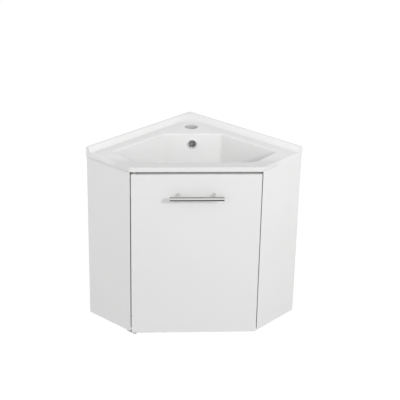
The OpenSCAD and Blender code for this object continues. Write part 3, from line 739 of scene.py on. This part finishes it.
def slabOutline(reach=0.0):
    end = (basin["wallSide"] + reach) / root2
    return [(end, -end), (0, 0), (-end, -end), (-frontHalf, frontY - reach), (frontHalf, frontY - reach)]


def rimOutline():
    end, wall = basin["wallSide"] - basin["rimEnd"], basin["rimWall"]
    tip = ((end - wall) / root2, -(end + wall) / root2)
    back = basin["rimBack"] - wall * root2
    front = frontY + basin["rimFront"]
    return [tip, (back, -basin["rimBack"]), (-back, -basin["rimBack"]), (-tip[0], tip[1]),
            (-basin["rimFrontHalf"], front), (basin["rimFrontHalf"], front)]


def slabBlock(name, top):
    radii, outline, edge, foot = basin["outlineRadii"], slabOutline(), basin["edgeRound"], basin["footRound"]
    rings = [planRing(outline, radii, foot, slabFoot), planRing(outline, radii, 0, slabFoot + foot)]
    rings += [planRing(outline, radii, edge * inward, top - edge * (1 - up)) for inward, up in quarter(8)]
    return lofted(name, rings)


# The space over the deck: its sides are the upstand's inner slopes
def recessBlock():
    steps, least = basin["slopeSteps"], 1 * mm
    footRadius, topRadius = basin["slopeFootRadius"], basin["slopeTopRadius"]
    levels = [(k, deckZ + basin["upstandRise"] * (1 - math.cos(math.pi * k / steps)) / 2)
              for k in range(steps + 1)]
    rings = []
    for k, z in [(0, slabFoot - over), *levels, (steps, upstandZ + over)]:
        share = k / steps
        inset = basin["upstandTop"] + basin["upstandSlope"] * (1 - share)
        radii = [least, footRadius + (topRadius - footRadius) * share + inset, least, least, least]
        rings.append(planRing(slabOutline(basin["openReach"]), radii, inset, z, steps=40))
    return lofted("recess", rings)


def wallInset(depth):
    return max(depth - basin["rimRound"], 0) * math.tan(basin["bowlDraft"])


def bowlRing(inset, z):
    return planRing(rimOutline(), basin["rimRadii"], inset, z, basin["leastCorner"])


def circleRing(ring, radius, z):
    out = []
    for x, y, _ in ring:
        away = (Vector((x, y, 0)) - wasteAt).normalized()
        out.append((wasteAt.x + away.x * radius, wasteAt.y + away.y * radius, z))
    return out


def bowlSpace():
    rim, fillet, start = basin["rimRound"], basin["bowlFloorRound"], wallInset(straightEnd)
    rings = [bowlRing(-rim, deckZ + over)]
    rings += [bowlRing(-rim * (1 - up), deckZ - rim * inward) for inward, up in quarter(8)]
    rings += [bowlRing(start + fillet * inward, deckZ - straightEnd - fillet * up)
              for inward, up in quarter(12)]
    rings.append(circleRing(rings[-1], basin["seatRound"], floorZ))
    return lofted("bowlSpace", rings[::-1])


def bowlShell():
    wall, fillet = basin["bowlWall"], basin["bowlFloorRound"]
    start = wallInset(straightEnd) - wall
    drop = fillet + wall - basin["floorFall"] * 0.4
    rings = [bowlRing(-wall, slabFoot + over)]
    rings += [bowlRing(start + fillet * inward, deckZ - straightEnd - drop * up) for inward, up in quarter(6)]
    rings.append(bowlRing(start + fillet + 6 * mm, floorZ - wall))
    return lofted("bowlShell", rings[::-1])


def overflowPlace():
    drop = basin["overflowDrop"]
    tilt = basin["bowlDraft"]
    spot = (0, -basin["rimBack"] - wallInset(drop), deckZ - drop)
    return aimed(spot, (0, -math.cos(tilt), math.sin(tilt)))


def atWaste(made):
    return moved(made, Matrix.Translation(wasteAt))


def makeBasin():
    b = basin
    top = slabBlock("basinTop", deckZ)
    back, half, apart = -b["rimBack"], b["ductHalf"], b["apart"]
    casing = roundedBlock("ductCasing", (-half, back - b["ductSkin"], bossZ),
                          (half, back + b["ductBack"], slabFoot + over), b["ductSoft"])
    foot = roundedBlock("ductFoot", (apart - half, wasteAt.y, bossZ + apart),
                        (half - apart, back + 2 * mm, floorZ - over), b["bossSoft"])
    boss = rod("boss", b["boss"], bossZ + 2 * apart, floorZ - 2 * mm, b["bossSoft"])
    raised = carve(slabBlock("raisedEdge", upstandZ), recessBlock())
    for added in (raised, bowlShell(), casing, foot, atWaste(boss)):
        carve(top, added, "UNION")

    carve(top, bowlSpace())
    bore, seat, seatZ = b["wasteBore"], b["wasteSeat"], floorZ - b["wasteRecess"]
    section = [(0, bossZ - over), (bore, bossZ - over), (bore, seatZ), (seat, seatZ), (seat, floorZ + 6 * mm),
               (0, floorZ + 6 * mm)]
    carve(top, atWaste(turned("seat", softened(section, [0, 0, 0.4 * mm, 0.4 * mm, 0, 0]))))
    duct, inside, channel = b["ductBoreHalf"], back + b["ductBack"] - b["ductSkin"], bossZ + b["channelLift"]
    carve(top, roundedBlock("ductDrop", (-duct, back + b["ductSkin"], channel),
                            (duct, inside, deckZ - b["overflowDrop"] + b["ductRise"]), 3 * mm))
    carve(top, roundedBlock("ductRun", (apart - duct, wasteAt.y, channel + apart),
                            (duct - apart, inside - over, channel + b["channelHeight"]), 1 * mm))
    hole = rod("overflowHole", b["overflowHole"], -b["overflowBore"], 8 * mm, sides=64)
    carve(top, moved(hole, overflowPlace()))
    lip, radius = b["tapLip"], b["tapHole"]
    mouth = [(radius + lip * inward, deckZ - lip * (1 - up)) for inward, up in quarter(6)]
    tap = [(0, slabFoot - over), (radius, slabFoot - over), *mouth, (radius + lip, deckZ + over),
           (0, deckZ + over)]
    carve(top, moved(turned("tapHole", tap, 128), Matrix.Translation((0, -b["tapFromCorner"], 0))))
    return smoothed(top, 28)


handOver(makeBasin(), "cabinet", glazeMaterial(), "basin_top", "tap_corner", "bowl_floor")
print("basin top made")


# Overflow

ringSizes = {"edge": 1 * mm, "bevel": 1.5 * mm, "lip": 2.5 * mm, "mouth": 0.8 * mm, "sleeve": 9 * mm,
             "outer": 15 * mm, "bore": 10 * mm, "sleeveRadius": 11.3 * mm, "soft": 0.5 * mm,
             "sleeveSoft": 0.2 * mm}


def makeOverflowRing():
    s = ringSizes
    section = [(s["bore"], -s["sleeve"]), (s["sleeveRadius"], -s["sleeve"]), (s["sleeveRadius"], 0),
               (s["outer"], 0), (s["outer"], s["edge"]), (s["outer"] - s["bevel"], s["lip"]),
               (s["bore"] + s["mouth"], s["lip"]), (s["bore"], s["lip"] - s["mouth"])]
    soft = [s["sleeveSoft"]] * 2 + [0, 0] + [s["soft"]] * 4
    return smoothed(moved(turned("overflowRing", softened(section, soft)), overflowPlace()))


grille = {"Spokes": 4, "Hub": 4.9 * mm, "Thickness": 1.4 * mm, "Depth": 3 * mm, "Reach": 9.95 * mm}
grilleBack = 4.5 * mm  # how deep the grille sits in the hole


def makeGrille():
    made = grownAlone("overflowGrille", ringAndSpokes, {**grille, "Material": greyPlastic})
    back = Matrix.Translation((0, 0, grille["Depth"] / 2 - grilleBack))
    return smoothed(moved(made, overflowPlace() @ back))


handOver(makeOverflowRing(), "cabinet", chromePlate, "overflow_ring")
handOver(makeGrille(), "cabinet", greyPlastic, "overflow_grille")
print("overflow made")


# Waste and plug

waste = {"flangeRadius": 31.5 * mm, "flangeHeight": 3 * mm, "tail": 20.95 * mm, "bore": 17.45 * mm,
         "length": 66 * mm, "threadDepth": 0.75 * mm, "threadEnd": 8 * mm, "threadRun": 29 * mm,
         "pitch": 2.3 * mm, "mouth": 3 * mm, "slotWidth": 12 * mm,
         "nutRadius": 30 * mm, "nutChamfer": 1.6 * mm}
flangeFoot = floorZ - 3 * mm
tailFoot = flangeFoot - waste["length"]


def makeWaste():
    w = waste
    core, bore, tail, flange = w["tail"] - w["threadDepth"], w["bore"], w["tail"], w["flangeRadius"]
    top = flangeFoot + w["flangeHeight"]
    threadTop = flangeFoot - w["threadEnd"]
    section = [(bore, tailFoot), (core, tailFoot), (core, threadTop), (tail, threadTop + over),
               (tail, flangeFoot), (flange, flangeFoot), (flange, top), (bore + w["mouth"], top),
               (bore, top - 2 * mm)]
    soft = [s * mm for s in (0.4, 0.4, 0.2, 0.2, 0, 0.3, 1.2, 0.8, 0.8)]
    body = turned("wasteBody", softened(section, soft))
    half, low = w["slotWidth"] / 2, bossZ + basin["channelLift"]
    carve(body, roundedBlock("slot", (-half, -tail - over, low),
                             (half, tail + over, low + basin["channelHeight"]), 1 * mm))
    turns = min((threadTop - tailFoot) / w["pitch"] - 1, w["threadRun"] / w["pitch"] - 0.5)
    thread = wound("wasteThread", core + w["threadDepth"] * 0.25, w["pitch"], turns, w["threadDepth"] * 0.7,
                   chromePlate, tailFoot + w["pitch"] * 0.5)
    return smoothed(atWaste(joined(body, thread)))


def reachOf(node, middle):
    reach = [math.hypot(p.x - middle.x, p.y - middle.y) for p in islandsOf(node)[0]]
    return min(reach), max(reach)


def sealRing(node, soft):
    low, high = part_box(node)
    middle = Vector(((low[0] + high[0]) / 2, (low[1] + high[1]) / 2, 0))
    ring = washer(pieceName(node), *reachOf(node, middle), low[2], high[2], soft)
    return smoothed(moved(ring, Matrix.Translation(middle)))


def makeNut():
    low, high = [corner[2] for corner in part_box("waste_nut")]
    radius, chamfer, tail = waste["nutRadius"], waste["nutChamfer"], waste["tail"]
    made = rod("wasteNut", radius, low, high, sides=6)
    flat = radius * math.cos(math.pi / 6) - 1 * mm
    cap = [(0, low - over), (flat, low - over), (radius, low + chamfer), (radius, high - chamfer),
           (flat, high + over), (0, high + over)]
    carve(made, turned("nutCap", cap), "INTERSECT")
    wide = tail + 1 * mm
    bore = [(0, low - over), (wide, low - over), (wide, low), (tail, low + 1 * mm), (tail, high - 1 * mm),
            (wide, high), (wide, high + over), (0, high + over)]
    carve(made, turned("nutBore", bore))
    return smoothed(atWaste(made))


plug = {"radius": 29 * mm, "height": 4 * mm, "gap": 0.3 * mm, "stem": 3 * mm}


def makePlugCap():
    foot, height, edge, stem = floorZ + plug["gap"], plug["height"], plug["radius"], plug["stem"]
    section = [(0, foot + height / 2), (stem, foot + height / 2), (stem, foot), (edge, foot),
               (edge, foot + height * 0.4), (edge - 1.5 * mm, foot + height * 0.8),
               (edge - 5 * mm, foot + height - 0.15 * mm), (edge * 0.5, foot + height - 0.02 * mm),
               (0, foot + height)]
    soft = [s * mm for s in (0, 0, 0.2, 0.3, 0.8, 1.5, 6, 10, 0)]
    cap = turned("plugCap", softened(section, soft, 6), 128)
    low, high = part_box("plug_seal")
    carve(cap, washer("groove", *reachOf("plug_seal", wasteAt), low[2] - over, high[2]))
    return smoothed(atWaste(cap))


def makeStem():
    low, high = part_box("plug_stem")
    return smoothed(atWaste(rod("plugStem", plug["stem"], low[2], high[2], 0.8 * mm, 0.2 * mm, 48)))


handOver(makeWaste(), "cabinet", chromePlate, "waste_body")
for node, soft in [("waste_top_seal", 0.4 * mm), ("waste_lower_seal", 0.8 * mm)]:
    handOver(sealRing(node, soft), "cabinet", sealRubber, node)
handOver(makeNut(), "cabinet", turnedBrass, "waste_nut")
handOver(rounded("plug_guide", 0.25 * mm, 2, 1.5 * mm), "cabinet", whitePlastic, "plug_guide")
handOver(makePlugCap(), "plug", chromePlate, "plug_cap")
handOver(sealRing("plug_seal", 0.3 * mm), "plug", sealRubber, "plug_seal")
handOver(makeStem(), "plug", platedSteel, "plug_stem")
print("waste and plug made")


# Cabinet boards

boards = {"edge": 0.45 * mm, "blockEdge": 0.8 * mm}

for node, material in [
        ("left_side_panel", leftBoard), ("right_side_panel", rightBoard), ("bottom_panel", baseBoard),
        ("left_upper_rail", leftBoard), ("right_upper_rail", rightBoard),
        ("left_lower_rail", leftBoard), ("right_lower_rail", rightBoard)]:
    handOver(rounded(node, boards["edge"]), "cabinet", material, node)
for node in ("upper_corner_block", "lower_corner_block"):
    handOver(rounded(node, boards["blockEdge"]), "cabinet", blockWood, node)
print("boards made")


# Door

bumper = {"footSoft": 0.2 * mm, "soft": 1.2 * mm}


def makeBumpers():
    seats = seatsOf("door_bumpers", (0, 1, 0))
    dome = rod("bumperShape", seats[0]["head"], 0, seats[0]["length"], bumper["footSoft"], bumper["soft"], 40)
    return copied("door_bumpers", seats, dome, whitePlastic)


handOver(rounded("door_panel", door["panelEdge"], 2), "door", satinDoor, "door_panel")
handOver(rounded("door_edge_bands", door["stripEdge"], 3), "door", edgeStrip, "door_edge_bands")
handOver(makeBumpers(), "door", whitePlastic, "door_bumpers")


# Handle

handle = {"endRound": 1.1 * mm, "postEdge": 0.2 * mm, "pinDeep": 12 * mm}


# The bar, with a hole for the pin of each post
def makeBar():
    low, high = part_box("handle_bar")
    radius, half = (high[2] - low[2]) / 2, (high[0] - low[0]) / 2
    bar = rod("handleBar", radius, -half, half, handle["endRound"], handle["endRound"], 96, 6)
    middle = (Vector(low) + Vector(high)) / 2
    moved(bar, aimed(middle, (1, 0, 0)))
    for island in islandsOf("handle_posts"):
        x = sum(p.x for p in island) / len(island)
        pin = max(abs(p.x - x) for p in island if p.y < middle.y + radius - 1 * mm)
        hole = rod("barHole", pin, 0, handle["pinDeep"], sides=48)
        carve(bar, moved(hole, aimed((x, min(p.y for p in island), middle.z), (0, 1, 0))))
    return smoothed(bar)


handOver(makeBar(), "door", brushedBar, "handle_bar")
handOver(rounded("handle_posts", handle["postEdge"], 2, 30 * mm), "door", brushedPost,
         "handle_posts")
print("door and handle made")


# Screws: a thread, a tapered or pan head, and a cross recess

screws = {"recess": 0.5, "recessWidth": 0.9 * mm, "recessDepth": 1.3 * mm, "recessSoft": 0.2 * mm,
          "ridge": 0.16, "pitch": 1.1 * mm, "threadEnd": 1.5 * mm, "leastThread": 2 * mm}


def screwShape(seat, coned, headHeight):
    shank, head, length = seat["tip"], seat["head"], seat["length"]
    core = shank * (1 - screws["ridge"])
    tip = min(shank * 1.5, length * 0.2)
    headFoot = length - headHeight
    if coned:
        section = [(0, 0), (core, tip), (core, headFoot - 1 * mm), (shank, headFoot),
                   (head, length - 0.1 * mm), (head - 0.1 * mm, length), (0, length)]
        soft = [0, 0, 0, 0, 0.1 * mm, 0.1 * mm, 0]
    else:
        section = [(0, 0), (core, tip), (core, headFoot), (head, headFoot), (head, length - 0.2 * mm),
                   (0, length)]
        soft = [0, 0, 0.2 * mm, 0.1 * mm, headHeight * 0.45, 0]
    made = turned("screwShape", softened(section, soft, 3), 32)
    carveCross(made, head * screws["recess"], screws["recessWidth"], length - screws["recessDepth"],
               length + over, screws["recessSoft"])
    free = headFoot - tip - screws["threadEnd"]
    if free > screws["leastThread"]:
        joined(made, wound("thread", core, screws["pitch"], free / screws["pitch"], shank - core,
                           platedSteel, tip))
    return made


for node, body, axis, coned, headHeight in [
        ("handle_screws", "door", (0, 1, 0), False, 2.4 * mm),
        ("strike_screws", "door", (0, 1, 0), False, 0.6 * mm),
        ("catch_screws", "cabinet", (0, 0, 1), False, 3 * mm),
        ("pivot_screws", "cabinet", (0, 0, 1), True, 1.65 * mm)]:
    seats = seatsOf(node, axis)
    made = copied(node, seats, screwShape(seats[0], coned, headHeight), platedSteel)
    handOver(made, body, platedSteel, node)


# Cams, their bolts, dowels and pivot pins

cam = {"slotShare": 0.62, "slotWidth": 1.6 * mm, "slotDepth": 2.5 * mm, "slotSoft": 0.4 * mm,
       "footSoft": 0.3 * mm, "soft": 0.5 * mm}


def seatsAlong(node):
    sides = [(island, 1 if middleOf(island).x > 0 else -1) for island in islandsOf(node)]
    return [seatOf(island, (side, -1, 0)) for island, side in sides]


def makeCams():
    seats = []
    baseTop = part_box("bottom_panel")[1][2]
    for island in islandsOf("cam_housings"):
        inward = Vector((-1 if middleOf(island).x > 0 else 1, -1, 0)).normalized()
        axis = Vector((0, 0, 1)) if max(p.z for p in island) < baseTop + 1 * mm else inward
        seats.append(seatOf(island, axis))
    radius, height = max(s["head"] for s in seats), max(s["length"] for s in seats)
    shape = rod("camShape", radius, 0, height, cam["footSoft"], cam["soft"], 64)
    carveCross(shape, radius * cam["slotShare"], cam["slotWidth"], height - cam["slotDepth"], height + over,
               cam["slotSoft"])
    return copied("cam_housings", seats, shape, platedSteel)


bolt = {"head": 2 * mm, "neck": 0.7, "neckEnd": 7 * mm, "threadFrom": 12 * mm, "core": 0.85, "tip": 0.5,
        "pitch": 2.2 * mm, "turns": 4.5, "soft": 0.3 * mm}


def makeBolts():
    b = bolt
    seats = seatsAlong("cam_bolts")
    radius, length = seats[0]["head"], seats[0]["length"]
    neck, core, threadFoot = radius * b["neck"], radius * b["core"], length - b["threadFrom"]
    section = [(0, 0), (radius, 0), (radius, b["head"]), (neck, b["head"] + over), (neck, b["neckEnd"]),
               (radius, b["neckEnd"] + over), (radius, threadFoot - over), (core, threadFoot),
               (core, length - over), (radius * b["tip"], length), (0, length)]
    shape = turned("boltShape", softened(section, [0] + [b["soft"]] * 9 + [0], 3), 40)
    joined(shape, wound("boltThread", core, b["pitch"], b["turns"], radius - core, platedSteel,
                        threadFoot + 0.5 * mm))
    return copied("cam_bolts", seats, shape, platedSteel)


dowel = {"flutes": 16, "fluteDepth": 0.25 * mm, "chamfer": 1 * mm}


def makeDowels():
    seats = seatsAlong("dowels")
    radius, length, chamfer = seats[0]["head"], seats[0]["length"], dowel["chamfer"]
    form = turnedForm([(0, 0), (radius - chamfer, 0), (radius, chamfer), (radius, length - chamfer),
                       (radius - chamfer, length), (0, length)], dowel["flutes"] * 4)
    for vert in form.verts:
        if math.hypot(vert.co.x, vert.co.y) > radius - 0.01 * mm:
            angle = math.atan2(vert.co.y, vert.co.x)
            less = dowel["fluteDepth"] * (1 - math.cos(angle * dowel["flutes"])) / 2
            vert.co.x -= less * math.cos(angle)
            vert.co.y -= less * math.sin(angle)
    return copied("dowels", seats, addObject("dowelShape", meshOf(form, "dowelShape")), dowelWood)


def makePins():
    pins = []
    for k, seat in enumerate(seatsOf("pivot_pins", (0, 0, 1))):
        pin = rod(f"pin{k}", seat["head"], 0, seat["length"], 0.4 * mm, 0.4 * mm, 40, 4)
        pins.append(moved(pin, aimed(seat["foot"], seat["aim"])))
    made = joined(*pins)
    made.name = "pivotPins"
    return smoothed(made)


handOver(makeCams(), "cabinet", platedSteel, "cam_housings")
handOver(makeBolts(), "cabinet", platedSteel, "cam_bolts")
handOver(makeDowels(), "cabinet", dowelWood, "dowels")
handOver(makePins(), "cabinet", platedSteel, "pivot_pins")
for node, body, material, width, segments, shortest in [
        ("pivot_bushes", "door", whitePlastic, 0.15 * mm, 2, 30 * mm),
        ("upper_pivot_plate", "cabinet", platedSteel, 0.25 * mm, 2, 3 * mm),
        ("lower_pivot_plate", "cabinet", platedSteel, 0.25 * mm, 2, 3 * mm),
        ("catch_strike", "door", platedSteel, 0.2 * mm, 2, 4 * mm),
        ("magnet_catch", "cabinet", whitePlastic, 0.8 * mm, 3, 6 * mm)]:
    handOver(rounded(node, width, segments, shortest), body, material, node)
print("fittings made")


# Floor, light and camera

# The wall tones are painted shade: a dark grey for the cabinet's inside, seen through the door gaps
studio = {"floorZ": -0.42, "floorReach": 9.0, "floorGlow": 0.86, "floorTones": (0.74, 0.78),
          "around": 0.885, "front": 0.385, "above": -0.45, "right": -0.17,
          "wallShadeTones": (0.21, 0.23), "wallGap": 1 * mm, "wallShort": 12 * mm}


# 1 for the rays that see the backdrop as the camera does
def seenRays(bench):
    eye, glossy, clear = [bench.add("ShaderNodeLightPath", output=ray)
                          for ray in ("Is Camera Ray", "Is Glossy Ray", "Is Transmission Ray")]
    return eye.atLeast(glossy).atLeast(clear)


# 1 on the back of a face
def behind(bench):
    return bench.add("ShaderNodeNewGeometry", output=6)


# Glows white where it is seen, keeps the object's shadow, and lets views from below pass
def floorMaterial():
    material, bench = startMaterial("paleFloor")
    plain = bench.plain("ShaderNodeBsdfDiffuse", bench.toned(*studio["floorTones"], 1.5))
    glow = bench.plain("ShaderNodeEmission", grey(1.0), {"Strength": studio["floorGlow"]})
    soft = bench.plain("ShaderNodeBsdfDiffuse", grey(0.22))
    lit = bench.add("ShaderNodeAddShader", {0: glow, 1: soft})
    bench.output(bench.either(behind(bench), bench.either(seenRays(bench), plain, lit), bench.clear()))
    return material


# The walls of the room corner, seen only from the room: they close the cabinet's open back, and their dark
# grey is painted shade for the inside seen through the door gaps.
# A view from behind passes through them, and then they let the light in as well.
def wallMaterial():
    material, bench = startMaterial("roomWall")
    shadePaint = bench.plain("ShaderNodeBsdfDiffuse", bench.toned(*studio["wallShadeTones"], 6.0, 3.0))
    passed = bench.add("ShaderNodeLightPath", output="Transparent Depth").above(0.5)
    bench.output(bench.either(behind(bench).atLeast(passed), shadePaint, bench.clear()))
    return material


# Only reflecting rays see a card, as a painted dark reflection; it blocks no light
def cardMaterial(name, tone):
    material, bench = startMaterial(name)
    glossy = bench.add("ShaderNodeLightPath", output="Is Glossy Ray")
    darkReflection = bench.plain("ShaderNodeEmission", bench.toned(tone * 0.9, tone * 1.1, 2.0))
    bench.output(bench.either(glossy, bench.clear(), darkReflection))
    return material


def setOnStage(name, mesh, matrix, material):
    made = moved(addObject(name, mesh), matrix)
    made.data.materials.append(material)


def sheet(name, cuts, size):
    form = bmesh.new()
    bmesh.ops.create_grid(form, x_segments=cuts, y_segments=cuts, size=size)
    return meshOf(form, name)


def makeWalls():
    away, low, high = studio["wallGap"] * root2, studio["wallGap"], slabFoot - studio["wallGap"]
    end = (basin["wallSide"] - studio["wallShort"]) / root2
    mesh = bpy.data.meshes.new("roomCorner")
    mesh.from_pydata([(x, away - abs(x), z) for z in (low, high) for x in (-end, 0, end)], [],
                     [(0, 1, 4, 3), (1, 2, 5, 4)])
    setOnStage("roomCorner", mesh, Matrix(), wallMaterial())


# Two dark cards, painted dark reflections for the handle and the ring: one under the object, one just over
# the handle
cards = [
    {"name": "lowerCard", "middle": (0, -0.85, -0.40), "size": (3.2, 2.3), "tone": 0.01},
    {"name": "upperCard", "middle": (0, -0.430, 0.65), "size": (1.0, 0.15), "tone": 0.02},
]


def makeWorld():
    world = bpy.data.worlds.new("studioWorld")
    bpy.context.scene.world = world
    bench = emptyBench(world)
    x, y, z = bench.parts(bench.add("ShaderNodeTexCoord", output=0))
    level = (studio["around"] + (-y).atLeast(0.0) * studio["front"] + z.atLeast(0.0) * studio["above"]
             + x * studio["right"])
    light = bench.plain("ShaderNodeBackground", grey(1.0), {"Strength": level})
    white = bench.plain("ShaderNodeBackground", grey(1.0), {"Strength": 1.0})
    bench.output(bench.either(seenRays(bench), light, white), "ShaderNodeOutputWorld")


lamp = {"spot": Vector((1.20, -2.70, 1.70)), "aim": Vector((0, -0.25, 0.3)), "size": 0.30, "power": 29.0}


def makeLamp():
    light = bpy.data.lights.new("softboxRight", "AREA")
    light.energy = lamp["power"]
    light.size = lamp["size"]
    addObject("softboxRight", light).matrix_world = aimed(lamp["spot"], lamp["spot"] - lamp["aim"])


camera = {"spot": Vector((-0.1640, -3.1693, 1.5966)), "yaw": math.radians(3.609),
          "pitch": math.radians(23.375), "roll": math.radians(-1.189),
          "focal": 1120.4, "frame": 400, "sensor": 36.0, "farthest": 50}


def makeCamera():
    c = camera
    yaw, pitch, roll = c["yaw"], c["pitch"], c["roll"]
    ahead = Vector((math.sin(yaw) * math.cos(pitch), math.cos(yaw) * math.cos(pitch), -math.sin(pitch)))
    side = Vector((math.cos(yaw), -math.sin(yaw), 0))
    down = ahead.cross(side)
    right = math.cos(roll) * side + math.sin(roll) * down
    low = -math.sin(roll) * side + math.cos(roll) * down
    data = bpy.data.cameras.new("photoCamera")
    data.sensor_width = c["sensor"]
    data.lens = c["focal"] * c["sensor"] / c["frame"]
    data.clip_end = c["farthest"]
    made = addObject("photoCamera", data)
    turn = Matrix((right, -low, -ahead)).transposed().to_4x4()
    made.matrix_world = Matrix.Translation(c["spot"]) @ turn
    bpy.context.scene.camera = made


setOnStage("studioFloor", sheet("studioFloor", 8, studio["floorReach"]),
           Matrix.Translation((0, 0, studio["floorZ"])), floorMaterial())
makeWalls()
for card in cards:
    matrix = Matrix.Translation(card["middle"]) @ Matrix.Diagonal((*card["size"], 1, 1))
    setOnStage(card["name"], sheet(card["name"], 4, 0.5), matrix, cardMaterial(card["name"], card["tone"]))
makeWorld()
makeLamp()
makeCamera()
bpy.context.scene.view_settings.view_transform = "Standard"
print("studio set")
